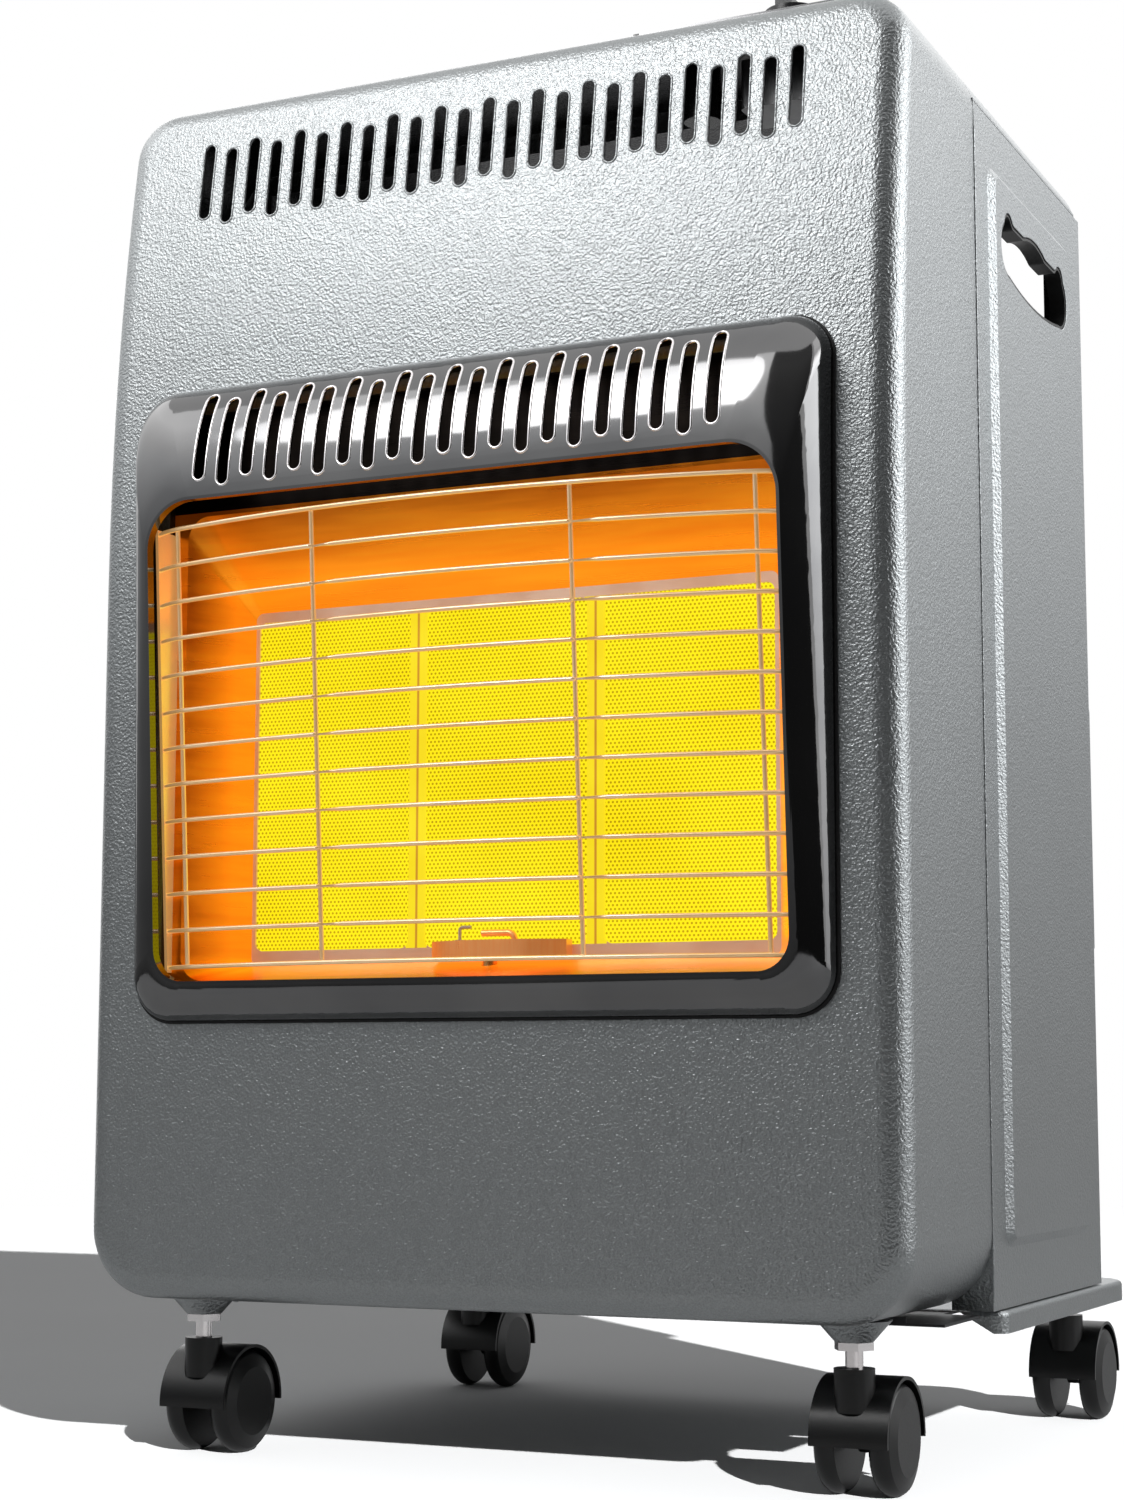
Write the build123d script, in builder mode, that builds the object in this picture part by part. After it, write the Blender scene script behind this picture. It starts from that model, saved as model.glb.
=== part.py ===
from build123d import *
import os
from math import atan2, cos, degrees, hypot, radians, sin, sqrt

os.makedirs("parts", exist_ok=True)

# A cabinet gas heater on four twin-wheel casters. Millimetres; X runs across the cabinet,
# Y from front to back and Z up from the floor. Depths are measured from the flat front face.

# ---------------------------------------------------------------- sheet and clearances
sheet = 1.2                 # thickness of the cabinet's sheet steel
seam = 0.3                  # open joint between two cabinet sheets
free_gap = 0.5              # clearance round a part that is lifted, pushed or turned
run_fit = 0.05              # radial clearance of a pin in its hole
end_gap = 0.4               # clearance past the end of a pin
overrun = 1.0               # how far a cutting solid passes a face

# ---------------------------------------------------------------- front panel
panel_width = 420.0
panel_bottom = 78.0
panel_top = 681.5
panel_depth = 127.0
panel_low_corner = 34.0
panel_high_corner = 25.0
panel_edge_radius = 13.0
lean_start = 430.0          # above this height the face curves back
lean_radius = 1440.0
window_half = 168.0         # opening behind the domed surround
window_bottom = 220.0
window_top = 512.0
window_corner = 14.0
window_lip = 5.0            # depth of the folded edge round the window

vent_count = 25
vent_pitch = 13.28
vent_width = 6.0
vent_length = 40.2
vent_drop = 23.9            # from the cabinet's top to the highest vents
vent_stagger = 3.6

# ---------------------------------------------------------------- domed surround and gasket
gasket_thick = 1.2
gasket_margin = 1.0         # how far the gasket shows outside the surround
gasket_band = 7.0
edge_half = 180.5           # outline of the surround where it meets the panel
edge_bottom = 211.0
edge_top = 524.0
edge_corner = 20.0
rim_half = 164.5            # crest of the dome, round the opening
rim_bottom = 228.5
rim_top = 463.5
rim_low_corner = 17.0
rim_high_corner = 25.0
dome_low = 13.5             # how far the crest stands forward, below and above
dome_high = 28.0
dome_sheet = 1.5
dome_cuts = (0, 25, 50, 70, 90)
rim_lip = 5.0               # rolled edge inside the crest
dome_vent_count = 21
dome_vent_pitch = 13.36
dome_vent_width = 6.0
dome_vent_length = 44.5
dome_vent_top = 516.0
dome_vent_stagger = 3.5

# ---------------------------------------------------------------- wire guard
wire = 2.2
guard_rows = 13
guard_top = 449.5
guard_pitch = 17.68
guard_bend_half = 146.0     # where a wire turns back towards its rail
guard_bow = 17.0            # how far the middle of a wire stands ahead of its bends
guard_lead_top = 22.0       # how far the top wire's bends stand ahead of the face
guard_lead_bottom = 6.0
guard_turn = 9.5            # how far a wire's ends run back
guard_rail_half = 165.0
guard_rail_sheet = 1.5
guard_inner_bar = 67.0
guard_outer_bar = 150.5
weld = 0.4                  # how far crossing wires sink into each other

# ---------------------------------------------------------------- burner box
box_sheet = 0.8
box_mouth_half = 160.0
box_mouth_bottom = 231.0
box_mouth_top = 461.0
box_mouth_corner = 12.0
box_flange_half = 178.0
box_flange_bottom = 212.0
box_flange_top = 520.0
throat_half = 140.0
throat_bottom = 239.5
throat_top = 416.5
throat_corner = 4.0
plaque_front = 39.5         # depth of the frame's back, where the plaques lie
plaque_width = 86.0         # glowing part of one plaque
plaque_height = 165.0
plaque_gap = 9.0            # metal strip between two plaques
plaque_bottom = 246.5
plaque_thick = 12.0
plaque_cover = 1.4          # how far the frame laps over each plaque's edge
plaque_fit = 0.3
frame_sheet = 1.2
frame_half = 146.0
frame_bottom = 234.0
frame_top = 424.0
tray_wall = 1.5
tray_depth = 36.5
tray_gap = 2.0
tray_shelf = 3.0            # ledge that a plaque sits on inside its tray
mixer_depth = 58.0
mixer_radius = 12.0
mixer_wall = 1.5
mixer_length = 48.0
mixer_bell = 16.0
mixer_bell_height = 6.0

# ---------------------------------------------------------------- shields
shield_depth = 104.0
shield_inset = 24.0         # from the cabinet's side to the shield's edge
shield_bottom = 82.0
shield_drop = 81.5          # from the cabinet's top to the shield
shield_ear = 18.0
shield_ear_bottom = 115.0
baffle_front = 32.0
baffle_inset = 24.0
baffle_lip = 10.0

# ---------------------------------------------------------------- gas line
injector_radius = 6.0
injector_base = 6.0
injector_neck = 4.0
injector_length = 13.0
injector_tip = 2.4
injector_tip_height = 4.0
injector_bore = 1.0
injector_gap = 5.0          # open air gap below each mixing tube
bracket_sheet = 1.5
bracket_half = 118.0
bracket_front = 46.0
bracket_flange = 14.0
pipe_radius = 3.0
pipe_pitch = 9.0
pipe_drop = 12.0            # lowest a pipe may turn below its injector
pipe_step = 10.0
pipe_bend = 8.0
valve_reach_left = 21.5      # how far the valve runs to each side of its spindle
valve_reach_right = 58.5
valve_drop = 41.5           # from the cabinet's top to the valve's underside
valve_height = 24.0
valve_thick = 30.0
valve_corner = 3.0
valve_plate_left_reach = 17.5
valve_plate_right_reach = 38.5
valve_plate_flange = 18.0
nozzle_offset = 22.5        # from the spindle to the hose nozzle
nozzle_rise = 12.0          # from the valve's underside to the nozzle
nozzle_body_radius = 7.0
nozzle_body_length = 40.0
nozzle_radius = 4.5
nozzle_length = 26.0
nozzle_bore = 2.5

# ---------------------------------------------------------------- controls
pod_reach_left = 77.5       # how far the pod runs to each side of the knob
pod_reach_right = 36.5
pod_front = 36.0
pod_back = 71.0
pod_peak_offset = 23.0      # from the knob to the pod's highest place
pod_peak = 18.3
pod_left_height = 10.4
pod_right_height = 8.9
pod_front_height = 3.0
pod_corner = 6.0
dish_radius = 15.5
dish_floor = 2.0
knob_inset = 66.5           # from the cabinet's side to the knob
control_depth = 54.0
knob_radius = 13.5
knob_skirt = 2.8
knob_bar_width = 8.5
knob_top = 11.8             # height of the knob above the cabinet top
knob_edge = 1.0
knob_crown = 2.5            # metal left above the spindle inside the knob
knob_push = 2.5
spindle_radius = 3.5
spindle_reach = 14.0        # how far the spindle stands in the valve
button_spacing = 46.5       # from the knob to the button
button_radius = 5.0
button_dish_radius = 9.0
button_top = 8.8
button_push = 4.0
button_stem = 3.0
button_reach = 16.0
igniter_radius = 9.0
igniter_length = 38.0
igniter_wall = 2.0

# ---------------------------------------------------------------- pilot
pilot_half = 35.5
pilot_bottom = 240.3
pilot_height = 8.5
pilot_front = 23.0
pilot_bow = 9.0
pilot_sheet = 1.0
pilot_x = -4.0
pilot_depth = 31.0
pilot_radius = 3.5
pilot_tail = 12.0
pilot_head = 6.0
spark_x = -20.0
spark_radius = 2.5
spark_height = 8.0
spark_wire = 0.8
spark_reach = 6.0
probe_x = 9.0
probe_radius = 1.6
probe_height = 11.0
probe_length = 17.0
probe_bend = 3.5

# ---------------------------------------------------------------- cabinet
cabinet_depth = 333.0
side_bottom = 77.0
cover_height = 20.4
cover_back_radius = 10.0
cover_front_lip = 12.0
side_flange = 20.0
foot_flange = 15.0
emboss_rise = 3.0
emboss_slope = 4.5
emboss_front = 150.5
emboss_margin = 29.0        # from the raised field to the cabinet's rear edge
emboss_bottom = 105.0
emboss_drop = 24.8          # from the side panel's top edge to the raised field
emboss_corner = 9.0
grip_margin = 11.0          # from the hand grip to the rear edge of the raised field
grip_drop = 36.5            # from the raised field's top to the grip's middle
grip_length = 130.0
grip_slot = 32.0
grip_belly_half = 50.0
grip_belly = 20.3           # lowest point of the grip, below its middle
finger_half = 22.0
finger_height = 19.6
finger_pitch = 49.0
finger_radius = 10.0
finger_lift = 10.0
grip_soft = 5.0             # rounding of the grip's inward and outward corners
grip_fold = 5.0             # depth of the panel's edge folded into the grip
grip_wall = 1.3
grip_draw = 8.5             # how deep the grip's liner reaches
grip_tab = 5.0
base_overhang = 3.0         # how far the base stands out past the cabinet's sides
base_front = 137.0
base_tail = 55.0            # how far the base reaches past the cabinet's rear edge
base_bottom = 66.0
base_top = 76.4
base_front_corner = 8.0
base_corner = 25.0
base_edge_radius = 2.5
seat_radius = 112.0         # pressed pad that the gas cylinder stands on
seat_rise = 1.5
base_notch_low = 6.0        # from the base's side to the notch in its front, below and above
base_notch_high = 22.0
underframe_front = 70.0
underframe_back = 160.0
underframe_step = 126.0
underframe_inset = 9.0      # from the base's side to the underframe's ends
underframe_tail = 27.0

# ---------------------------------------------------------------- rear cylinder guard
hoop_inset = 3.0            # from the cabinet's side to the guard's side
hoop_bottom = 256.0
hoop_top = 394.0
hoop_stand = 21.0           # from the cabinet's rear edge to where the guard starts to bow
hoop_bow = 72.0
hoop_corner = 20.0
hoop_edge_radius = 8.0
hoop_flange = 14.0
hook_low = 270.0
hook_high = 362.0
hook_width = 7.8
hook_thick = 1.2
hook_reach = 18.0           # length of the tongue that hangs in a pocket
hook_head = 10.0
hook_gap = 0.4
pocket_height = 12.0
pocket_leg = 1.2

# ---------------------------------------------------------------- casters
wheel_radius = 25.0
wheel_shoulder = 22.8       # radius of the tread at its edges
wheel_face = 16.5           # radius of the flat on a wheel's outer side
wheel_dish = 2.0
wheel_inner = 8.0           # where a wheel starts, from the caster's middle
wheel_outer = 19.5
axle_radius = 3.0
axle_reach = 15.0
axle_end_gap = 0.5
caster_trail = 17.0
hood_gap = 1.0
hood_wall = 1.6
hood_half = 18.3
hood_front_height = 23.5
hood_rear_angle = -3.0
web_half = 3.0
axle_boss = 6.5
socket_radius = 9.2
socket_bottom = 38.0
socket_top = 57.0
stem_radius = 4.0
stem_foot = 48.0
stem_hex = 16.0
stem_hex_thick = 3.5
foot_bottom = 68.4
foot_low_radius = 8.6
foot_flare = 0.9            # radius gained for each millimetre of height
nut_size = 13.0
nut_height = 5.0
front_caster_inset = 40.6   # from the cabinet's side to a stem
front_caster_depth = 47.0
rear_caster_inset = 32.0    # from the base's side to a stem
rear_caster_margin = 20.0   # from the base's rear edge to a stem

# ---------------------------------------------------------------- worked out from the sizes
guard_reach = guard_lead_top + guard_bow + wire / 2
hoop_side = cabinet_depth + hoop_stand
hoop_back = hoop_side + hoop_bow
base_back = cabinet_depth + base_tail
rear_caster_depth = base_back - rear_caster_margin
emboss_back = cabinet_depth - emboss_margin
vent_top = panel_top - vent_drop
cover_bottom = panel_top - cover_height
side_top = cover_bottom - seam
emboss_top = side_top - emboss_drop
grip_height = emboss_top - grip_drop
shield_top = panel_top - shield_drop
valve_bottom = panel_top - valve_drop
nozzle_height = valve_bottom + nozzle_rise
face_y = (guard_reach - hoop_back) / 2      # the origin is midway between front and back
guard_low = guard_top - (guard_rows - 1) * guard_pitch
panel_half = panel_width / 2
base_half = panel_half + base_overhang
hoop_half = panel_half - hoop_inset
shield_half = panel_half - shield_inset
baffle_half = shield_half - baffle_inset
grip_depth = emboss_back - grip_margin - grip_length / 2
knob_x = panel_half - knob_inset
button_x = knob_x - button_spacing
pod_left = knob_x - pod_reach_left
pod_right = knob_x + pod_reach_right
valve_left = knob_x - valve_reach_left
valve_right = knob_x + valve_reach_right
valve_plate_left = knob_x - valve_plate_left_reach
valve_plate_right = knob_x + valve_plate_right_reach
nozzle_x = knob_x + nozzle_offset
front_caster_x = panel_half - front_caster_inset
rear_caster_x = base_half - rear_caster_inset
side_front = panel_depth + seam             # depth where the side panels and top cover begin
frame_front = plaque_front - frame_sheet
plaque_pitch = plaque_width + plaque_gap
plaque_middle = plaque_bottom + plaque_height / 2
plaque_half = plaque_width / 2 + plaque_cover
plaque_half_height = plaque_height / 2 + plaque_cover
burner_x = {"left": -plaque_pitch, "center": 0.0, "right": plaque_pitch}
tray_half = (plaque_pitch - tray_gap) / 2
tray_half_height = plaque_half_height + plaque_fit + tray_wall
tray_bottom = plaque_middle - tray_half_height
mixer_foot = tray_bottom - mixer_length
injector_foot = mixer_foot - injector_gap - injector_length
bracket_height = injector_foot + injector_base
valve_top = valve_bottom + valve_height
valve_back = control_depth + valve_thick / 2
panel_roof = panel_top - sheet              # underside of the front panel's top
dish_height = panel_top + dish_floor
knob_foot = dish_height + knob_push + free_gap
knob_head = panel_top + knob_top
button_head = panel_top + button_top
base_plate_low = base_top - sheet
front_caster_y = face_y + front_caster_depth
rear_caster_y = face_y + rear_caster_depth
caster_spots = {
    "front_left": (-front_caster_x, front_caster_y),
    "front_right": (front_caster_x, front_caster_y),
    "rear_left": (-rear_caster_x, rear_caster_y),
    "rear_right": (rear_caster_x, rear_caster_y),
}


def at_depth(depth):
    """An upright plane facing forward, at a depth behind the front face."""
    return Plane.XZ.offset(-(face_y + depth))


def lean(height):
    """How far the face has curved back at a height."""
    return lean_radius - sqrt(lean_radius**2 - max(height - lean_start, 0) ** 2)


def outline(plane, half_width, low, high, low_corner, high_corner):
    """A rounded rectangle about the plane's middle, with its own radii below and above."""
    with BuildSketch(plane) as shape:
        with Locations((0, (low + high) / 2)):
            Rectangle(2 * half_width, high - low)
        fillet(shape.vertices().group_by(Axis.Y)[0], low_corner)
        fillet(shape.vertices().group_by(Axis.Y)[-1], high_corner)
    return shape.sketch


def behind_face(ahead, high, reach):
    """Everything behind the curved front face, or behind a face that stands ahead of it."""
    near = face_y - ahead
    far = face_y + reach
    with BuildPart() as slab:
        with BuildSketch(Plane.YZ):
            with BuildLine():
                Line((near, 0), (near, lean_start))
                TangentArc((near, lean_start), (near + lean(high), high), tangent=(0, 1))
                Polyline((near + lean(high), high), (far, high), (far, 0), (near, 0))
            make_face()
        extrude(amount=panel_width, both=True)
    return slab.part


def ring(plane, outer, inner, thick):
    """A flat ring between two outlines, each (half width, low, high, low radius, high radius)."""
    with BuildPart() as band:
        extrude(outline(plane, *outer), amount=-thick)
        extrude(outline(plane, *inner), amount=-thick, mode=Mode.SUBTRACT)
    return band.part


def save(solid, name):
    """Label a finished piece and write it."""
    solid.label = name
    export_step(solid, f"parts/{name}.step")


# ---------------------------------------------------------------- front panel
def panel_solid(inset, back):
    """The front panel filled solid, or with an inset the hollow inside its sheet."""
    front = outline(
        at_depth(0),
        panel_half - inset,
        panel_bottom + inset,
        panel_top - inset,
        panel_low_corner - inset,
        panel_high_corner - inset,
    )
    with BuildPart() as body:
        extrude(front, amount=-back)
        add(behind_face(-inset, panel_top + overrun, back + overrun), mode=Mode.INTERSECT)
        front_edges = [
            edge
            for edge in body.edges()
            if edge.center().Y < face_y + panel_depth / 3
            and abs(edge.center().Z - lean_start) > overrun
        ]
        fillet(front_edges, panel_edge_radius - inset)
    return body.part


window = (window_half, window_bottom, window_top, window_corner, window_corner)
window_outer = (
    window_half + sheet,
    window_bottom - sheet,
    window_top + sheet,
    window_corner + sheet,
    window_corner + sheet,
)
with BuildPart() as window_fold:
    add(ring(at_depth(0), window_outer, window, window_lip))
    add(behind_face(0, panel_top, panel_depth), mode=Mode.INTERSECT)

with BuildPart() as front_panel:
    add(panel_solid(0, panel_depth))
    add(panel_solid(sheet, panel_depth + overrun), mode=Mode.SUBTRACT)
    extrude(outline(at_depth(0), *window), amount=-window_lip, both=True, mode=Mode.SUBTRACT)
    add(window_fold.part)
    with BuildSketch(at_depth(-overrun)):
        for i in range(vent_count):
            across = (i - (vent_count - 1) / 2) * vent_pitch
            middle = vent_top - vent_length / 2 - vent_stagger * (i % 2)
            with Locations((across, middle)):
                SlotOverall(vent_length, vent_width, rotation=90)
    extrude(amount=-panel_depth / 3, mode=Mode.SUBTRACT)
    with BuildSketch(Plane.XY.offset(panel_bottom - overrun)):
        with Locations((-front_caster_x, front_caster_y), (front_caster_x, front_caster_y)):
            Circle(stem_radius + run_fit)
    extrude(amount=sheet + 2 * overrun, mode=Mode.SUBTRACT)
    with BuildSketch(Plane.XY.offset(panel_top - sheet - overrun)):
        with Locations((knob_x, face_y + control_depth)):
            Circle(spindle_radius + free_gap)
        with Locations((button_x, face_y + control_depth)):
            Circle(button_radius + free_gap)
    extrude(amount=sheet + 2 * overrun, mode=Mode.SUBTRACT)
save(front_panel.part, "front_panel")


# ---------------------------------------------------------------- domed surround
def dome_section(angle, inset):
    """Plane and size of one cut through the dome, from the panel (0) to its crest (90)."""
    out = cos(radians(angle))
    up = sin(radians(angle))
    half = rim_half + (edge_half - rim_half - inset) * out
    low = rim_bottom - (rim_bottom - edge_bottom - inset) * out
    high = rim_top + (edge_top - rim_top - inset) * out
    lead_low = (dome_low - inset) * up
    lead_high = (dome_high - inset) * up
    tilt = atan2(lead_high - lead_low, high - low)
    middle = (0, face_y - (lead_low + lead_high) / 2, (low + high) / 2)
    plane = Plane(origin=middle, x_dir=(1, 0, 0), z_dir=(0, -cos(tilt), -sin(tilt)))
    length = hypot(high - low, lead_high - lead_low)
    low_corner = rim_low_corner + (edge_corner - rim_low_corner - inset) * out
    high_corner = rim_high_corner + (edge_corner - rim_high_corner - inset) * out
    return plane, (half, -length / 2, length / 2, low_corner, high_corner)


def dome_solid(inset):
    """The surround filled solid, or with an inset the hollow inside its sheet."""
    foot_plane, foot = dome_section(0, inset)
    sections = []
    for angle in dome_cuts:
        plane, size = dome_section(angle, inset)
        sections.append(outline(plane, *size))
    with BuildPart() as body:
        loft(sections)
        extrude(outline(foot_plane, *foot), amount=-window_lip)
    return body.part


crest_plane, crest = dome_section(90, 0)
mouth = (
    crest[0] - dome_sheet,
    crest[1] + dome_sheet,
    crest[2] - dome_sheet,
    crest[3] - dome_sheet,
    crest[4] - dome_sheet,
)
with BuildPart() as bezel:
    add(dome_solid(0))
    add(dome_solid(dome_sheet), mode=Mode.SUBTRACT)
    extrude(outline(crest_plane, *mouth), amount=dome_high, both=True, mode=Mode.SUBTRACT)
    add(ring(crest_plane, crest, mouth, rim_lip))
    with BuildSketch(at_depth(-2 * dome_high)):
        for i in range(dome_vent_count):
            across = (i - (dome_vent_count - 1) / 2) * dome_vent_pitch
            middle = dome_vent_top - dome_vent_length / 2 - dome_vent_stagger * (i % 2)
            with Locations((across, middle)):
                SlotOverall(dome_vent_length, dome_vent_width, rotation=90)
    extrude(amount=-2 * dome_high, mode=Mode.SUBTRACT)
    add(behind_face(gasket_thick, panel_top, panel_depth), mode=Mode.SUBTRACT)
save(bezel.part, "bezel")

gasket_outer = (
    edge_half + gasket_margin,
    edge_bottom - gasket_margin,
    edge_top + gasket_margin,
    edge_corner + gasket_margin,
    edge_corner + gasket_margin,
)
gasket_inner = (
    gasket_outer[0] - gasket_band,
    gasket_outer[1] + gasket_band,
    gasket_outer[2] - gasket_band,
    gasket_outer[3] - gasket_band,
    gasket_outer[4] - gasket_band,
)
with BuildPart() as bezel_gasket:
    add(ring(at_depth(-2 * gasket_thick), gasket_outer, gasket_inner, 4 * window_lip))
    add(behind_face(gasket_thick, panel_top, panel_depth), mode=Mode.INTERSECT)
    add(behind_face(0, panel_top, panel_depth), mode=Mode.SUBTRACT)
save(bezel_gasket.part, "bezel_gasket")


# ---------------------------------------------------------------- wire guard
def guard_lead(height):
    """How far the bends of a guard wire at a height stand ahead of the face."""
    share = (height - guard_low) / (guard_top - guard_low)
    return guard_lead_bottom + (guard_lead_top - guard_lead_bottom) * share


def guard_bar(across, back):
    """An upright guard wire, standing a distance behind the bends of the rows."""
    foot = (across, face_y - guard_lead(guard_low) + back, guard_low)
    head = (across, face_y - guard_lead(guard_top) + back, guard_top)
    with BuildPart() as bar:
        with BuildLine() as run:
            Line(foot, head)
        path = run.wires()[0]
        with BuildSketch(Plane(origin=path @ 0, z_dir=path % 0)):
            Circle(wire / 2)
        sweep(path=path)
    return bar.part


def guard_sagitta(across):
    """How far a row stands ahead of its bends at a place across the guard."""
    radius = (guard_bend_half**2 + guard_bow**2) / (2 * guard_bow)
    return guard_bow - radius + sqrt(radius**2 - across**2)


with BuildPart() as guard_grille:
    for row in range(guard_rows):
        height = guard_top - row * guard_pitch
        bend_y = face_y - guard_lead(height)
        left_bend = (-guard_bend_half, bend_y, height)
        right_bend = (guard_bend_half, bend_y, height)
        end = guard_rail_half + guard_rail_sheet / 2
        with BuildLine() as run:
            middle = ThreePointArc(left_bend, (0, bend_y - guard_bow, height), right_bend)
            TangentArc(right_bend, (end, bend_y + guard_turn, height), tangent=middle % 1)
            TangentArc(left_bend, (-end, bend_y + guard_turn, height), tangent=-(middle % 0))
        path = run.wires()[0]
        with BuildSketch(Plane(origin=path @ 0, z_dir=path % 0)):
            Circle(wire / 2)
        sweep(path=path)
    for across in (-guard_outer_bar, -guard_inner_bar, guard_inner_bar, guard_outer_bar):
        add(guard_bar(across, wire - weld - guard_sagitta(across)))
    for side in (-1, 1):
        near_top = face_y - guard_lead_top + guard_turn - wire
        near_low = face_y - guard_lead_bottom + guard_turn - wire
        far = face_y + window_lip
        with BuildSketch(Plane.YZ.offset(side * guard_rail_half)):
            with BuildLine():
                Polyline(
                    (near_top, guard_top + wire),
                    (far, guard_top + wire),
                    (far, guard_low - wire),
                    (near_low, guard_low - wire),
                    close=True,
                )
            make_face()
        extrude(amount=side * guard_rail_sheet)
save(guard_grille.part, "guard_grille")


# ---------------------------------------------------------------- burner box
def funnel(grow):
    """The flared burner box filled solid, grown outwards by a sheet."""
    mouth = outline(
        at_depth(window_lip),
        box_mouth_half + grow,
        box_mouth_bottom - grow,
        box_mouth_top + grow,
        box_mouth_corner + grow,
        box_mouth_corner + grow,
    )
    throat = outline(
        at_depth(frame_front),
        throat_half + grow,
        throat_bottom - grow,
        throat_top + grow,
        throat_corner + grow,
        throat_corner + grow,
    )
    with BuildPart() as body:
        loft([mouth, throat])
    return body.part


box_rim = (
    box_flange_half,
    box_flange_bottom,
    box_flange_top,
    box_mouth_corner,
    box_mouth_corner,
)
with BuildPart() as reflector_box:
    add(funnel(box_sheet))
    extrude(outline(at_depth(window_lip), *box_rim), amount=-box_sheet)
    add(funnel(0), mode=Mode.SUBTRACT)
    with Locations((pilot_x, face_y + pilot_depth, throat_bottom)):
        Cylinder(pilot_radius + free_gap, 4 * pilot_tail, mode=Mode.SUBTRACT)
save(reflector_box.part, "reflector_box")

with BuildPart() as burner_frame:
    with BuildSketch(at_depth(frame_front)):
        with Locations((0, (frame_bottom + frame_top) / 2)):
            Rectangle(2 * frame_half, frame_top - frame_bottom)
        with Locations(*[(x, plaque_middle) for x in burner_x.values()]):
            RectangleRounded(plaque_width, plaque_height, throat_corner, mode=Mode.SUBTRACT)
    extrude(amount=-frame_sheet)
    for side in (-1, 1):
        with BuildSketch(at_depth(frame_front)):
            with Locations((side * (frame_half - frame_sheet / 2), (frame_bottom + frame_top) / 2)):
                Rectangle(frame_sheet, frame_top - frame_bottom)
        extrude(amount=frame_front - shield_depth)
    with Locations((pilot_x, face_y + pilot_depth, throat_bottom)):
        Cylinder(pilot_radius + free_gap, 4 * pilot_tail, mode=Mode.SUBTRACT)
save(burner_frame.part, "burner_frame")

for name, x in burner_x.items():
    with BuildPart() as plaque:
        with BuildSketch(at_depth(plaque_front)):
            with Locations((x, plaque_middle)):
                Rectangle(2 * plaque_half, 2 * plaque_half_height)
        extrude(amount=-plaque_thick)
    save(plaque.part, f"plaque_{name}")

    shelf_depth = plaque_front + plaque_thick
    with BuildPart() as burner:
        with BuildSketch(at_depth(plaque_front)):
            with Locations((x, plaque_middle)):
                Rectangle(2 * tray_half, 2 * tray_half_height)
        extrude(amount=-tray_depth)
        with Locations((x, face_y + mixer_depth, mixer_foot)):
            Cylinder(
                mixer_radius,
                mixer_length + tray_wall,
                align=(Align.CENTER, Align.CENTER, Align.MIN),
            )
            Cone(
                mixer_bell,
                mixer_radius,
                mixer_bell_height,
                align=(Align.CENTER, Align.CENTER, Align.MIN),
            )
        with BuildSketch(at_depth(plaque_front)):
            with Locations((x, plaque_middle)):
                Rectangle(2 * (plaque_half + plaque_fit), 2 * (plaque_half_height + plaque_fit))
        extrude(amount=-plaque_thick, mode=Mode.SUBTRACT)
        with BuildSketch(at_depth(shelf_depth)):
            with Locations((x, plaque_middle)):
                Rectangle(2 * (plaque_half - tray_shelf), 2 * (plaque_half_height - tray_shelf))
        extrude(amount=plaque_thick + tray_wall - tray_depth, mode=Mode.SUBTRACT)
        with Locations((x, face_y + mixer_depth, mixer_foot)):
            Cylinder(
                mixer_radius - mixer_wall,
                mixer_length + tray_wall + tray_shelf + plaque_cover + overrun,
                align=(Align.CENTER, Align.CENTER, Align.MIN),
                mode=Mode.SUBTRACT,
            )
            Cone(
                mixer_bell - mixer_wall,
                mixer_radius - mixer_wall,
                mixer_bell_height,
                align=(Align.CENTER, Align.CENTER, Align.MIN),
                mode=Mode.SUBTRACT,
            )
    save(burner.part, f"burner_{name}")


# ---------------------------------------------------------------- shields
with BuildPart() as heat_shield:
    with BuildSketch(at_depth(shield_depth)):
        with Locations((0, (shield_bottom + shield_top) / 2)):
            Rectangle(2 * shield_half, shield_top - shield_bottom)
    extrude(amount=-sheet)
    for side in (-1, 1):
        with BuildSketch(at_depth(shield_depth)):
            with Locations((side * (shield_half - sheet / 2), (shield_ear_bottom + shield_top) / 2)):
                Rectangle(sheet, shield_top - shield_ear_bottom)
        extrude(amount=shield_depth - panel_depth)
        middle = side * (shield_half + shield_ear / 2 - sheet / 2)
        with BuildSketch(at_depth(panel_depth - sheet)):
            with Locations((middle, (shield_ear_bottom + shield_top) / 2)):
                Rectangle(shield_ear + sheet, shield_top - shield_ear_bottom)
        extrude(amount=-sheet)
save(heat_shield.part, "heat_shield")

with BuildPart() as heat_baffle:
    with BuildSketch(Plane.XY.offset(shield_top)):
        with Locations((0, face_y + (baffle_front + shield_depth + 2 * sheet) / 2)):
            Rectangle(2 * baffle_half, shield_depth + 2 * sheet - baffle_front)
    extrude(amount=sheet)
    with BuildSketch(at_depth(baffle_front)):
        with Locations((0, shield_top - baffle_lip / 2)):
            Rectangle(2 * baffle_half, baffle_lip)
    extrude(amount=-sheet)
save(heat_baffle.part, "heat_baffle")


# ---------------------------------------------------------------- gas line
mixer_y = face_y + mixer_depth
with BuildPart() as injectors:
    with Locations(*[(x, mixer_y, injector_foot) for x in burner_x.values()]):
        Cylinder(
            injector_radius, injector_base, align=(Align.CENTER, Align.CENTER, Align.MIN)
        )
        Cylinder(
            injector_neck,
            injector_length - injector_tip_height,
            align=(Align.CENTER, Align.CENTER, Align.MIN),
        )
        Cylinder(
            injector_tip, injector_length, align=(Align.CENTER, Align.CENTER, Align.MIN)
        )
        Cylinder(
            injector_bore,
            injector_length,
            align=(Align.CENTER, Align.CENTER, Align.MIN),
            mode=Mode.SUBTRACT,
        )
save(injectors.part, "injectors")

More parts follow.
